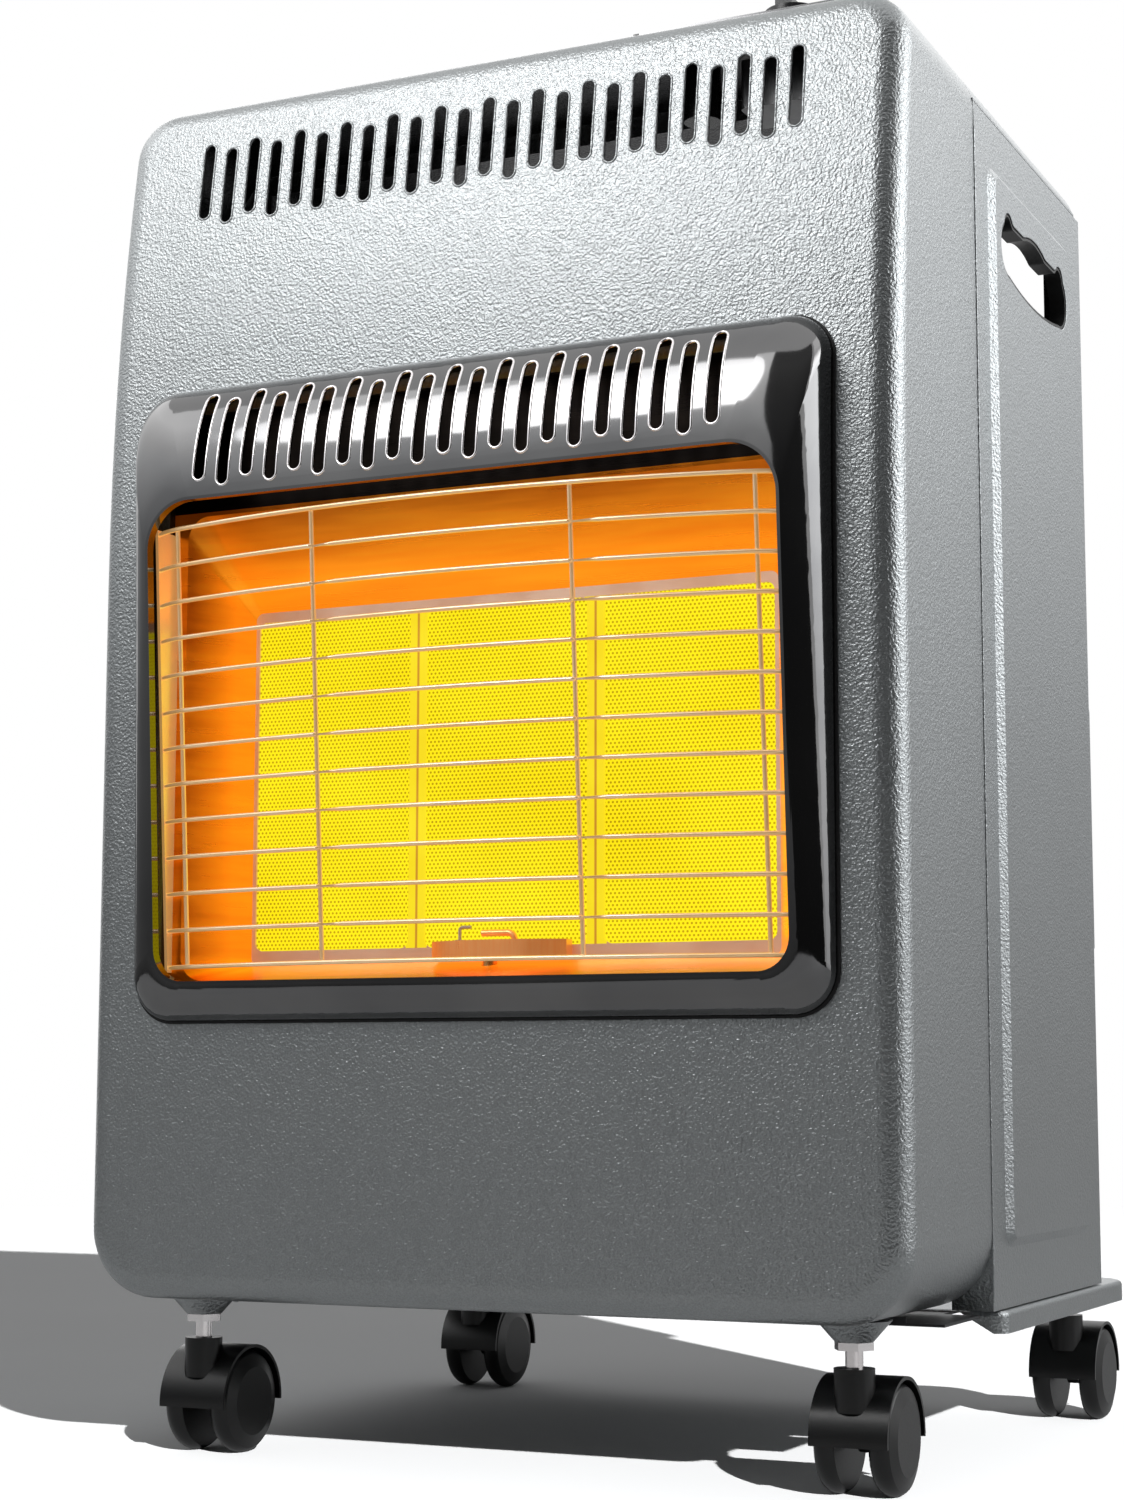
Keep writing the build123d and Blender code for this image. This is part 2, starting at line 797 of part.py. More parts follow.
with BuildPart() as injector_bracket:
    with BuildSketch(Plane.XY.offset(bracket_height)):
        with Locations((0, face_y + (bracket_front + shield_depth) / 2)):
            Rectangle(2 * bracket_half, shield_depth - bracket_front)
        with Locations(*[(x, mixer_y) for x in burner_x.values()]):
            Circle(injector_neck + run_fit, mode=Mode.SUBTRACT)
    extrude(amount=bracket_sheet)
    with BuildSketch(at_depth(shield_depth)):
        with Locations((0, bracket_height + bracket_flange / 2)):
            Rectangle(2 * bracket_half, bracket_flange)
    extrude(amount=bracket_sheet)
save(injector_bracket.part, "injector_bracket")

for i, (name, x) in enumerate(burner_x.items()):
    drop_x = valve_right - (i + 1) * pipe_pitch
    low = injector_foot - pipe_drop - (len(burner_x) - 1 - i) * pipe_step
    with BuildPart() as gas_pipe:
        with BuildLine() as run:
            FilletPolyline(
                (drop_x, mixer_y, valve_bottom),
                (drop_x, mixer_y, low),
                (x, mixer_y, low),
                (x, mixer_y, injector_foot),
                radius=pipe_bend,
            )
        path = run.wires()[0]
        with BuildSketch(Plane(origin=path @ 0, z_dir=path % 0)):
            Circle(pipe_radius)
        sweep(path=path)
    save(gas_pipe.part, f"gas_pipe_{name}")

with BuildPart() as gas_valve:
    with Locations(((valve_left + valve_right) / 2, face_y + control_depth, valve_bottom)):
        Box(
            valve_right - valve_left,
            valve_thick,
            valve_height,
            align=(Align.CENTER, Align.CENTER, Align.MIN),
        )
    fillet(gas_valve.edges().filter_by(Axis.Z), valve_corner)
    with Locations((knob_x, face_y + control_depth, valve_top)):
        Cylinder(
            spindle_radius + run_fit,
            spindle_reach + knob_push + free_gap,
            align=(Align.CENTER, Align.CENTER, Align.MAX),
            mode=Mode.SUBTRACT,
        )
save(gas_valve.part, "gas_valve")

valve_plate_middle = (valve_plate_left + valve_plate_right) / 2
with BuildPart() as valve_bracket:
    with BuildSketch(at_depth(valve_back)):
        with Locations((valve_plate_middle, (valve_bottom + panel_roof) / 2)):
            Rectangle(valve_plate_right - valve_plate_left, panel_roof - valve_bottom)
        with Locations((nozzle_x, nozzle_height)):
            Circle(nozzle_body_radius + run_fit, mode=Mode.SUBTRACT)
    extrude(amount=-bracket_sheet)
    with BuildSketch(Plane.XY.offset(panel_roof)):
        with Locations((valve_plate_middle, face_y + valve_back + valve_plate_flange / 2)):
            Rectangle(valve_plate_right - valve_plate_left, valve_plate_flange)
    extrude(amount=-bracket_sheet)
save(valve_bracket.part, "valve_bracket")

with BuildPart() as hose_nozzle:
    with BuildSketch(at_depth(valve_back)):
        with Locations((nozzle_x, nozzle_height)):
            Circle(nozzle_body_radius)
    extrude(amount=-nozzle_body_length)
    with BuildSketch(at_depth(valve_back + nozzle_body_length)):
        with Locations((nozzle_x, nozzle_height)):
            Circle(nozzle_radius)
    extrude(amount=-nozzle_length)
    with BuildSketch(at_depth(valve_back)):
        with Locations((nozzle_x, nozzle_height)):
            Circle(nozzle_bore)
    extrude(amount=-nozzle_body_length - nozzle_length, mode=Mode.SUBTRACT)
save(hose_nozzle.part, "hose_nozzle")


# ---------------------------------------------------------------- controls
control_y = face_y + control_depth
with BuildPart() as control_pod:
    with BuildSketch(at_depth(pod_front)):
        with BuildLine():
            ThreePointArc(
                (pod_left, panel_top + pod_left_height),
                (knob_x - pod_peak_offset, panel_top + pod_peak),
                (pod_right, panel_top + pod_right_height),
            )
            Polyline(
                (pod_right, panel_top + pod_right_height),
                (pod_right, panel_top),
                (pod_left, panel_top),
                (pod_left, panel_top + pod_left_height),
            )
        make_face()
    extrude(amount=pod_front - pod_back)
    fillet(control_pod.edges().filter_by(Axis.Z), pod_corner)
    with BuildSketch(Plane.YZ):
        with BuildLine():
            Polyline(
                (face_y + pod_front - overrun, panel_top + pod_front_height),
                (face_y + pod_back, panel_top + pod_peak),
                (face_y + pod_back, panel_top + 2 * pod_peak),
                (face_y + pod_front - overrun, panel_top + 2 * pod_peak),
                close=True,
            )
        make_face()
    extrude(amount=panel_half, mode=Mode.SUBTRACT)
    with Locations((knob_x, control_y, dish_height)):
        Cylinder(
            dish_radius,
            2 * pod_peak,
            align=(Align.CENTER, Align.CENTER, Align.MIN),
            mode=Mode.SUBTRACT,
        )
    with Locations((knob_x, control_y, panel_top)):
        Cylinder(spindle_radius + free_gap, 2 * pod_peak, mode=Mode.SUBTRACT)
    with Locations((button_x, control_y, dish_height)):
        Cylinder(
            button_dish_radius,
            2 * pod_peak,
            align=(Align.CENTER, Align.CENTER, Align.MIN),
            mode=Mode.SUBTRACT,
        )
    with Locations((button_x, control_y, panel_top)):
        Cylinder(button_radius + free_gap, 2 * pod_peak, mode=Mode.SUBTRACT)
save(control_pod.part, "control_pod")

spindle_foot = valve_top - spindle_reach
spindle_head = knob_head - knob_crown
with BuildPart() as valve_spindle:
    with Locations((knob_x, control_y, spindle_foot)):
        Cylinder(
            spindle_radius,
            spindle_head - spindle_foot,
            align=(Align.CENTER, Align.CENTER, Align.MIN),
        )
save(valve_spindle.part, "valve_spindle")

with BuildPart() as control_knob:
    with Locations((knob_x, control_y, knob_foot)):
        Cylinder(knob_radius, knob_skirt, align=(Align.CENTER, Align.CENTER, Align.MIN))
        Box(
            knob_bar_width,
            2 * knob_radius - 2 * knob_edge,
            knob_head - knob_foot,
            align=(Align.CENTER, Align.CENTER, Align.MIN),
        )
    fillet(control_knob.faces().sort_by(Axis.Z)[-1].edges(), knob_edge)
    with Locations((knob_x, control_y, knob_foot)):
        Cylinder(
            spindle_radius + run_fit,
            spindle_head + end_gap - knob_foot,
            align=(Align.CENTER, Align.CENTER, Align.MIN),
            mode=Mode.SUBTRACT,
        )
save(control_knob.part, "control_knob")

with BuildPart() as igniter_body:
    with Locations((button_x, control_y, panel_roof)):
        Cylinder(igniter_radius, igniter_length, align=(Align.CENTER, Align.CENTER, Align.MAX))
        Cylinder(
            button_radius + free_gap,
            button_reach + button_push,
            align=(Align.CENTER, Align.CENTER, Align.MAX),
            mode=Mode.SUBTRACT,
        )
        Cylinder(
            button_stem + run_fit,
            igniter_length - igniter_wall,
            align=(Align.CENTER, Align.CENTER, Align.MAX),
            mode=Mode.SUBTRACT,
        )
save(igniter_body.part, "igniter_body")

button_foot = panel_roof - button_reach + free_gap
with BuildPart() as igniter_button:
    with Locations((button_x, control_y, button_foot)):
        Cylinder(
            button_radius,
            button_head - button_foot,
            align=(Align.CENTER, Align.CENTER, Align.MIN),
        )
    fillet(igniter_button.faces().sort_by(Axis.Z)[-1].edges(), knob_edge)
    with Locations((button_x, control_y, button_foot)):
        Cylinder(
            button_stem,
            igniter_length - igniter_wall - button_reach - button_push,
            align=(Align.CENTER, Align.CENTER, Align.MAX),
        )
save(igniter_button.part, "igniter_button")


# ---------------------------------------------------------------- pilot
def pilot_arc(inset):
    """The curved front of the pilot shield as a closed strip reaching back to the frame."""
    near = face_y + pilot_front + inset
    side_y = near + pilot_bow
    far = face_y + frame_front
    half = pilot_half - inset
    with BuildSketch(Plane.XY.offset(pilot_bottom)) as shape:
        with BuildLine():
            ThreePointArc((-half, side_y), (0, near), (half, side_y))
            Polyline((half, side_y), (half, far), (-half, far), (-half, side_y))
        make_face()
    return shape.sketch


with BuildPart() as pilot_shield:
    extrude(pilot_arc(0), amount=pilot_height)
    extrude(pilot_arc(pilot_sheet), amount=pilot_height, mode=Mode.SUBTRACT)
    extrude(pilot_arc(0), amount=pilot_sheet)
    with Locations((pilot_x, face_y + pilot_depth, pilot_bottom)):
        Cylinder(pilot_radius + run_fit, 2 * pilot_height, mode=Mode.SUBTRACT)
save(pilot_shield.part, "pilot_shield")

pilot_floor = pilot_bottom + pilot_sheet
with BuildPart() as pilot_burner:
    with Locations((pilot_x, face_y + pilot_depth, pilot_floor)):
        Cylinder(pilot_radius, pilot_tail, align=(Align.CENTER, Align.CENTER, Align.MAX))
        Cylinder(
            pilot_radius + pilot_sheet, pilot_head, align=(Align.CENTER, Align.CENTER, Align.MIN)
        )
save(pilot_burner.part, "pilot_burner")

with BuildPart() as spark_electrode:
    with Locations((spark_x, face_y + pilot_depth, pilot_floor)):
        Cylinder(spark_radius, spark_height, align=(Align.CENTER, Align.CENTER, Align.MIN))
    spark_high = pilot_floor + spark_height
    with BuildLine() as run:
        FilletPolyline(
            (spark_x, face_y + pilot_depth, spark_high - overrun),
            (spark_x, face_y + pilot_depth, spark_high + spark_reach),
            (spark_x + spark_reach, face_y + pilot_depth, spark_high + spark_reach),
            radius=2 * spark_wire,
        )
    path = run.wires()[0]
    with BuildSketch(Plane(origin=path @ 0, z_dir=path % 0)):
        Circle(spark_wire)
    sweep(path=path)
save(spark_electrode.part, "spark_electrode")

with BuildPart() as thermocouple:
    with BuildLine() as run:
        FilletPolyline(
            (probe_x, face_y + pilot_depth, pilot_floor),
            (probe_x, face_y + pilot_depth, pilot_floor + probe_height),
            (probe_x - probe_length, face_y + pilot_depth, pilot_floor + probe_height),
            radius=probe_bend,
        )
    path = run.wires()[0]
    with BuildSketch(Plane(origin=path @ 0, z_dir=path % 0)):
        Circle(probe_radius)
    sweep(path=path)
save(thermocouple.part, "thermocouple")


# ---------------------------------------------------------------- side panels and grips
def emboss(inset):
    """The raised field of the right side panel, or the hollow behind it."""
    middle = face_y + (emboss_front + emboss_back) / 2
    half = (emboss_back - emboss_front) / 2 - inset
    base = Plane(origin=(panel_half - inset, middle, 0), x_dir=(0, 1, 0), z_dir=(1, 0, 0))
    foot = outline(
        base, half, emboss_bottom + inset, emboss_top - inset, emboss_corner, emboss_corner
    )
    field = outline(
        base.offset(emboss_rise),
        half - emboss_slope,
        emboss_bottom + inset + emboss_slope,
        emboss_top - inset - emboss_slope,
        emboss_corner - emboss_slope,
        emboss_corner - emboss_slope,
    )
    with BuildPart() as body:
        loft([foot, field])
    return body.part


def grip_outline(x, inset):
    """The wavy outline of the hand grip at a distance from the cabinet's middle."""
    plane = Plane(origin=(x, face_y + grip_depth, grip_height), x_dir=(0, 1, 0), z_dir=(1, 0, 0))
    with BuildSketch(plane) as shape:
        SlotOverall(grip_length, grip_slot)
        edge = grip_slot / 2 - seam
        with BuildLine():
            ThreePointArc((-grip_belly_half, -edge), (0, -grip_belly), (grip_belly_half, -edge))
            Line((grip_belly_half, -edge), (finger_half, edge))
            ThreePointArc((finger_half, edge), (0, finger_height), (-finger_half, edge))
            Line((-finger_half, edge), (-grip_belly_half, -edge))
        make_face()
        with Locations((-finger_pitch, finger_lift), (finger_pitch, finger_lift)):
            Circle(finger_radius)
        offset(amount=grip_soft)
        offset(amount=-grip_soft - inset)
    return shape.sketch


field_x = panel_half + emboss_rise
side_middle = (side_bottom + side_top) / 2
side_height = side_top - side_bottom
side_length = cabinet_depth - side_front
with BuildPart() as side_panel_right:
    with BuildSketch(Plane.YZ.offset(panel_half)):
        with Locations((face_y + side_front + side_length / 2, side_middle)):
            Rectangle(side_length, side_height)
    extrude(amount=-sheet)
    add(emboss(0))
    add(emboss(sheet), mode=Mode.SUBTRACT)
    for depth in (side_front, cabinet_depth - sheet):
        with BuildSketch(at_depth(depth)):
            with Locations((panel_half - side_flange / 2, side_middle)):
                Rectangle(side_flange, side_height)
        extrude(amount=-sheet)
    for height in (side_bottom, side_top - sheet):
        with BuildSketch(Plane.XY.offset(height)):
            with Locations((panel_half - foot_flange / 2, face_y + side_front + side_length / 2)):
                Rectangle(foot_flange, side_length)
        extrude(amount=sheet)
    extrude(grip_outline(field_x, 0), amount=-grip_fold)
    extrude(grip_outline(field_x, sheet), amount=-grip_fold, mode=Mode.SUBTRACT)
    fillet(
        [
            edge
            for edge in side_panel_right.faces().sort_by(Axis.X)[-1].edges()
            if abs(edge.center().Z - grip_height) < grip_slot
            and abs(edge.center().Y - face_y - grip_depth) < grip_length / 2 - sheet / 2
        ],
        sheet / 2,
    )
save(side_panel_right.part, "side_panel_right")
save(side_panel_right.part.mirror(Plane.YZ), "side_panel_left")

liner = sheet + seam
with BuildPart() as handle_grip_right:
    extrude(grip_outline(field_x - sheet / 2, liner), amount=-grip_draw)
    extrude(grip_outline(field_x - grip_fold - seam, -grip_tab), amount=-grip_wall)
    extrude(
        grip_outline(field_x, liner + grip_wall), amount=-2 * grip_draw, mode=Mode.SUBTRACT
    )
save(handle_grip_right.part, "handle_grip_right")
save(handle_grip_right.part.mirror(Plane.YZ), "handle_grip_left")


# ---------------------------------------------------------------- top cover
def cover_solid(inset, front, back):
    """The top cover filled solid between two depths, or the hollow inside its sheet."""
    upper = outline(
        at_depth(front),
        panel_half - inset,
        cover_bottom - panel_high_corner,
        panel_top - inset,
        sheet,
        panel_high_corner - inset,
    )
    with BuildPart() as body:
        extrude(upper, amount=front - back)
        edges = [
            edge
            for edge in body.faces().sort_by(Axis.Y)[-1].edges()
            if edge.center().Z > cover_bottom
        ]
        fillet(edges, cover_back_radius - inset)
        split(bisect_by=Plane.XY.offset(cover_bottom), keep=Keep.TOP)
    return body.part


with BuildPart() as top_cover:
    add(cover_solid(0, side_front, cabinet_depth))
    add(cover_solid(sheet, side_front + sheet, cabinet_depth - sheet), mode=Mode.SUBTRACT)
    with BuildSketch(at_depth(side_front)):
        with Locations((0, cover_bottom)):
            Rectangle(
                2 * (panel_half - side_flange),
                2 * (panel_top - cover_front_lip - cover_bottom),
            )
    extrude(amount=-sheet, mode=Mode.SUBTRACT)
    for side in (-1, 1):
        with BuildSketch(Plane.XY.offset(cover_bottom)):
            with Locations(
                (
                    side * (panel_half - foot_flange / 2),
                    face_y + side_front + (side_length - cover_back_radius) / 2,
                )
            ):
                Rectangle(foot_flange, side_length - cover_back_radius)
        extrude(amount=sheet)
save(top_cover.part, "top_cover")


# ---------------------------------------------------------------- base and underframe
def tray_solid(inset, low, high):
    """The base plate filled solid, or the hollow under its sheet."""
    middle = face_y + (base_front + base_back) / 2
    length = base_back - base_front - 2 * inset
    with BuildPart() as body:
        with BuildSketch(Plane.XY.offset(low)) as shape:
            with Locations((0, middle)):
                Rectangle(2 * (base_half - inset), length)
            fillet(shape.vertices().group_by(Axis.Y)[0], base_front_corner - inset)
            fillet(shape.vertices().group_by(Axis.Y)[-1], base_corner - inset)
        extrude(amount=high - low)
        fillet(body.faces().sort_by(Axis.Z)[-1].edges(), base_edge_radius - inset)
    return body.part


with BuildPart() as base_plate:
    add(tray_solid(0, base_bottom, base_top))
    add(tray_solid(sheet, base_bottom, base_plate_low), mode=Mode.SUBTRACT)
    with BuildSketch(at_depth(base_front - overrun)):
        with BuildLine():
            Polyline(
                (base_notch_low - base_half, base_bottom),
                (base_notch_high - base_half, base_plate_low),
                (base_half - base_notch_high, base_plate_low),
                (base_half - base_notch_low, base_bottom),
                close=True,
            )
        make_face()
    extrude(amount=-overrun - sheet - base_edge_radius, mode=Mode.SUBTRACT)
    with BuildSketch(Plane.XY.offset(base_plate_low)):
        with Locations((-rear_caster_x, rear_caster_y), (rear_caster_x, rear_caster_y)):
            Circle(stem_radius + run_fit)
    extrude(amount=sheet, mode=Mode.SUBTRACT)
    with Locations((0, face_y + (base_front + base_back) / 2, base_plate_low)):
        Cylinder(
            seat_radius,
            sheet + seat_rise,
            align=(Align.CENTER, Align.CENTER, Align.MIN),
        )
        Cylinder(
            seat_radius - sheet,
            seat_rise,
            align=(Align.CENTER, Align.CENTER, Align.MIN),
            mode=Mode.SUBTRACT,
        )
save(base_plate.part, "base_plate")

frame_low = base_plate_low - sheet
tail_half = base_half - underframe_tail
with BuildPart() as underframe:
    with BuildSketch(Plane.XY.offset(frame_low)):
        with Locations((0, face_y + (underframe_front + underframe_step) / 2)):
            Rectangle(2 * (base_half - underframe_inset), underframe_step - underframe_front)
        with Locations((0, face_y + (underframe_front + underframe_back) / 2)):
            Rectangle(2 * tail_half, underframe_back - underframe_front)
    extrude(amount=sheet)
    with BuildSketch(at_depth(underframe_front)):
        with Locations((0, (frame_low + panel_bottom) / 2)):
            Rectangle(2 * tail_half, panel_bottom - frame_low)
    extrude(amount=-sheet)
save(underframe.part, "underframe")


# ---------------------------------------------------------------- rear cylinder guard
def hoop_solid(inset, low, high):
    """The space inside the guard's outer face, filled from the cabinet's rear edge back."""
    front = hoop_side - cabinet_depth - free_gap
    with BuildPart() as body:
        with BuildSketch(Plane.XY.offset(low)) as shape:
            with BuildLine():
                side = hoop_half - inset
                side_y = face_y + hoop_side
                ThreePointArc((-side, side_y), (0, face_y + hoop_back - inset), (side, side_y))
                Polyline(
                    (side, side_y), (side, side_y - front), (-side, side_y - front), (-side, side_y)
                )
            make_face()
            shoulders = [
                vertex for vertex in shape.vertices() if abs(vertex.Y - side_y) < overrun
            ]
            fillet(shoulders, hoop_corner - inset)
        extrude(amount=high - low)
        rim = [
            edge
            for edge in body.faces().sort_by(Axis.Z)[-1].edges()
            if edge.center().Y > side_y - front + overrun
        ]
        fillet(rim, hoop_edge_radius - inset)
    return body.part


hooks = [
    (side, height)
    for side in (-1, 1)
    for height in (hook_low, hook_high)
]
hook_x = panel_half - side_flange / 2 - sheet / 2
hook_front = cabinet_depth + hook_gap
with BuildPart() as rear_guard:
    add(hoop_solid(0, hoop_bottom, hoop_top))
    add(hoop_solid(sheet, hoop_bottom, hoop_top - sheet), mode=Mode.SUBTRACT)
    well = outline(
        at_depth(cabinet_depth),
        hoop_half - hoop_flange,
        hoop_top - 2 * hoop_flange,
        hoop_top + hoop_flange,
        hoop_edge_radius,
        hoop_edge_radius,
    )
    extrude(well, amount=-(hoop_side - cabinet_depth), mode=Mode.SUBTRACT)
    with BuildSketch(Plane.XY.offset(hoop_top - 2 * sheet)):
        with BuildLine():
            inner = hoop_half - hoop_flange
            inner_y = face_y + hoop_side
            ThreePointArc(
                (-inner, inner_y - hoop_flange),
                (0, face_y + hoop_back - hoop_flange),
                (inner, inner_y - hoop_flange),
            )
            Line((inner, inner_y - hoop_flange), (-inner, inner_y - hoop_flange))
        make_face()
    extrude(amount=4 * sheet, mode=Mode.SUBTRACT)
    for side, height in hooks:
        with BuildSketch(at_depth(hook_front)):
            with Locations((side * hook_x, height + hook_reach / 2)):
                Rectangle(hook_width, hook_reach)
            head = hoop_half - sheet / 2 - hook_x + hook_width / 2
            middle = hook_x - hook_width / 2 + head / 2
            with Locations((side * middle, height + hook_reach + hook_head / 2)):
                Rectangle(head, hook_head)
        extrude(amount=-hook_thick)
save(rear_guard.part, "rear_guard")

pocket_high = hook_reach - end_gap
pocket_half = hook_width / 2 + free_gap + pocket_leg
pocket_out = hook_gap + hook_thick + hook_gap
with BuildPart() as guard_pockets:
    for side, height in hooks:
        top = height + pocket_high
        with BuildSketch(Plane.XY.offset(top - pocket_height)):
            with Locations((side * hook_x, face_y + cabinet_depth + (pocket_out + pocket_leg) / 2)):
                Rectangle(2 * pocket_half, pocket_out + pocket_leg)
            with Locations((side * hook_x, face_y + cabinet_depth + pocket_out / 2)):
                Rectangle(2 * (hook_width / 2 + free_gap), pocket_out, mode=Mode.SUBTRACT)
        extrude(amount=pocket_height)
save(guard_pockets.part, "guard_pockets")


# ---------------------------------------------------------------- feet and stems
for end, foot_top, spot_x, spot_y in (
    ("front", panel_bottom, front_caster_x, front_caster_y),
    ("rear", base_plate_low, rear_caster_x, rear_caster_y),
):
    rise = foot_top - foot_bottom
    with BuildPart() as feet:
        with Locations((-spot_x, spot_y, foot_bottom), (spot_x, spot_y, foot_bottom)):
            Cone(
                foot_low_radius,
                foot_low_radius + foot_flare * rise,
                rise,
                align=(Align.CENTER, Align.CENTER, Align.MIN),
            )
            Cylinder(
                stem_radius + run_fit,
                rise,
                align=(Align.CENTER, Align.CENTER, Align.MIN),
                mode=Mode.SUBTRACT,
            )
    save(feet.part, f"{end}_feet")

with BuildPart() as caster_stems:
    for name, (x, y) in caster_spots.items():
        seat = panel_bottom + sheet if y == front_caster_y else base_top
        nut_middle = seat + nut_height / 2
        with Locations((x, y, stem_foot)):
            Cylinder(
                stem_radius,
                seat + nut_height + overrun - stem_foot,
                align=(Align.CENTER, Align.CENTER, Align.MIN),
            )
        with BuildSketch(Plane.XY.offset(foot_bottom - stem_hex_thick)):
            with Locations((x, y)):
                RegularPolygon(stem_hex / 2, 6, major_radius=False)
        extrude(amount=stem_hex_thick)
        with BuildSketch(Plane.XY.offset(seat)):
            with Locations((x, y)):
                RegularPolygon(nut_size / 2, 6, major_radius=False)
        extrude(amount=nut_height)
save(caster_stems.part, "caster_stems")


# ---------------------------------------------------------------- casters
def beside_axle(axle_y, radius, plane):
    """The part of a circle round the axle that lies under the hood's roof."""
    far = 3 * wheel_radius
    with BuildSketch(plane) as shape:
        with Locations((axle_y, wheel_radius)):
            Circle(radius)
        with BuildLine():
            Polyline(
                (axle_y, wheel_radius),
                (axle_y, hood_front_height),
                (axle_y - far, hood_front_height),
                (axle_y - far, wheel_radius + far),
                (axle_y + far, wheel_radius + far),
                (axle_y + far * cos(roof_end), wheel_radius + far * sin(roof_end)),
                close=True,
            )
        make_face(mode=Mode.INTERSECT)
    return shape.sketch


roof_end = radians(hood_rear_angle)
arch = wheel_radius + hood_gap
for name, (x, y) in caster_spots.items():
    axle_y = y + caster_trail
    middle_plane = Plane.YZ.offset(x)
    with BuildPart() as hood:
        with Locations((x, y, socket_bottom)):
            Cylinder(
                socket_radius,
                socket_top - socket_bottom,
                align=(Align.CENTER, Align.CENTER, Align.MIN),
            )
        extrude(
            beside_axle(axle_y, arch + hood_wall, middle_plane), amount=hood_half, both=True
        )
        with BuildSketch(middle_plane):
            with Locations((axle_y, wheel_radius)):
                Circle(arch)
        extrude(amount=hood_half + overrun, both=True, mode=Mode.SUBTRACT)
        extrude(
            beside_axle(axle_y, arch + hood_wall / 2, middle_plane), amount=web_half, both=True
        )
        with BuildSketch(middle_plane):
            with Locations((axle_y, wheel_radius)):
                Circle(axle_boss)
        extrude(amount=web_half, both=True)
        with BuildSketch(middle_plane):
            with Locations((axle_y, wheel_radius)):
                Circle(axle_radius + run_fit)
        extrude(amount=hood_half, both=True, mode=Mode.SUBTRACT)
        with Locations((x, y, stem_foot - end_gap)):
            Cylinder(
                stem_radius + run_fit,
                wheel_radius,
                align=(Align.CENTER, Align.CENTER, Align.MIN),
                mode=Mode.SUBTRACT,
            )
    save(hood.part, f"caster_hood_{name}")

    with BuildPart() as axle:
        with BuildSketch(middle_plane):
            with Locations((axle_y, wheel_radius)):
                Circle(axle_radius)
        extrude(amount=axle_reach, both=True)
    save(axle.part, f"caster_axle_{name}")

    for hand, side in (("left", -1), ("right", 1)):
        with BuildPart() as wheel:
            section = Plane(origin=(x, axle_y, wheel_radius), x_dir=(1, 0, 0), z_dir=(0, -1, 0))
            with BuildSketch(section):
                with BuildLine():
                    ThreePointArc(
                        (side * wheel_inner, wheel_shoulder),
                        (side * (wheel_inner + wheel_outer - wheel_dish) / 2, wheel_radius),
                        (side * (wheel_outer - wheel_dish), wheel_shoulder),
                    )
                    Polyline(
                        (side * (wheel_outer - wheel_dish), wheel_shoulder),
                        (side * wheel_outer, wheel_face),
                        (side * wheel_outer, 0),
                        (side * wheel_inner, 0),
                        (side * wheel_inner, wheel_shoulder),
                    )
                make_face()
            revolve(axis=Axis((x, axle_y, wheel_radius), (1, 0, 0)))
            with BuildSketch(Plane.YZ.offset(x)):
                with Locations((axle_y, wheel_radius)):
                    Circle(axle_radius + run_fit)
            extrude(amount=side * (axle_reach + axle_end_gap), mode=Mode.SUBTRACT)
        save(wheel.part, f"caster_wheel_{name}_{hand}")
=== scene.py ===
import math

import bmesh
import bpy
from mathutils import Matrix, Vector
from mathutils.bvhtree import BVHTree


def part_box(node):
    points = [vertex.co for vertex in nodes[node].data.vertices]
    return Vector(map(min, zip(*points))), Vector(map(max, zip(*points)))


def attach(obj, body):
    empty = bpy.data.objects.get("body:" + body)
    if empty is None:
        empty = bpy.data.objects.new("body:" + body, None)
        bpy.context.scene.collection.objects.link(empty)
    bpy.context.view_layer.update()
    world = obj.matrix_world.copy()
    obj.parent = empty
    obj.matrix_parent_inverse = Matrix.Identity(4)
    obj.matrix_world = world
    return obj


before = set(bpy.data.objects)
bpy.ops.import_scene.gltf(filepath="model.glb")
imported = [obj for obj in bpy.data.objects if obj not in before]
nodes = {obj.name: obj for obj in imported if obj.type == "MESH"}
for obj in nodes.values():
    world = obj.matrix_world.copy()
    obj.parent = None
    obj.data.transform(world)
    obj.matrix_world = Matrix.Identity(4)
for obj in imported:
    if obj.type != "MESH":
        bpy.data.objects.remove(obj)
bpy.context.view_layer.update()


# ------------------------------------------------------------------ sizes, in metres
panel_low, panel_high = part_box("front_panel")
face_y = panel_low[1]
panel_half = panel_high[0]
cabinet_middle = (0.0, 0.0, 0.38)
box_middle = (0.0, face_y - 0.03, 0.33)  # just in front of the reflector's mouth
box_lip = 0.463  # the reflector's inner faces carry painted light below this height and are near-black above it
# depths between which the reflector's painted glow rises
painted_glow_front = face_y - 0.005
painted_glow_back = face_y + 0.045

vent_count = 25
vent_pitch = 0.01328
vent_width = 0.006
vent_length = 0.0402
vent_top = 0.6576
vent_stagger = 0.0036

dome_vent_count = 21
dome_vent_pitch = 0.01336
dome_vent_width = 0.006
dome_vent_length = 0.0445
dome_vent_top = 0.516
dome_vent_stagger = 0.0035

rim_radius = 0.00075
rim_sides = 8
rim_grow = rim_radius * 0.7  # from the slot's edge out to the middle of its rim
rim_sink = rim_radius * 0.45  # how far the rim sits in the sheet
rim_step = 0.003  # longest step along a rim
rim_end_steps = 10
rim_least_points = 8

fold_radius = 0.0006
fold_sides = 10
fold_end = 0.004
fold_tip = 0.3  # share of the fold's radius left at its ends
fold_shares = (0.0, 0.02, 0.5, 0.98, 1.0)

pore_pitch = 0.00215
pore_radius = 0.00058
pore_blur = 0.2
plaque_pitch = 0.095
plaque_low = 0.2465
plaque_high = 0.4115
strip_half = 0.0058
seam_dark = 0.0003
seam_end = 0.0009


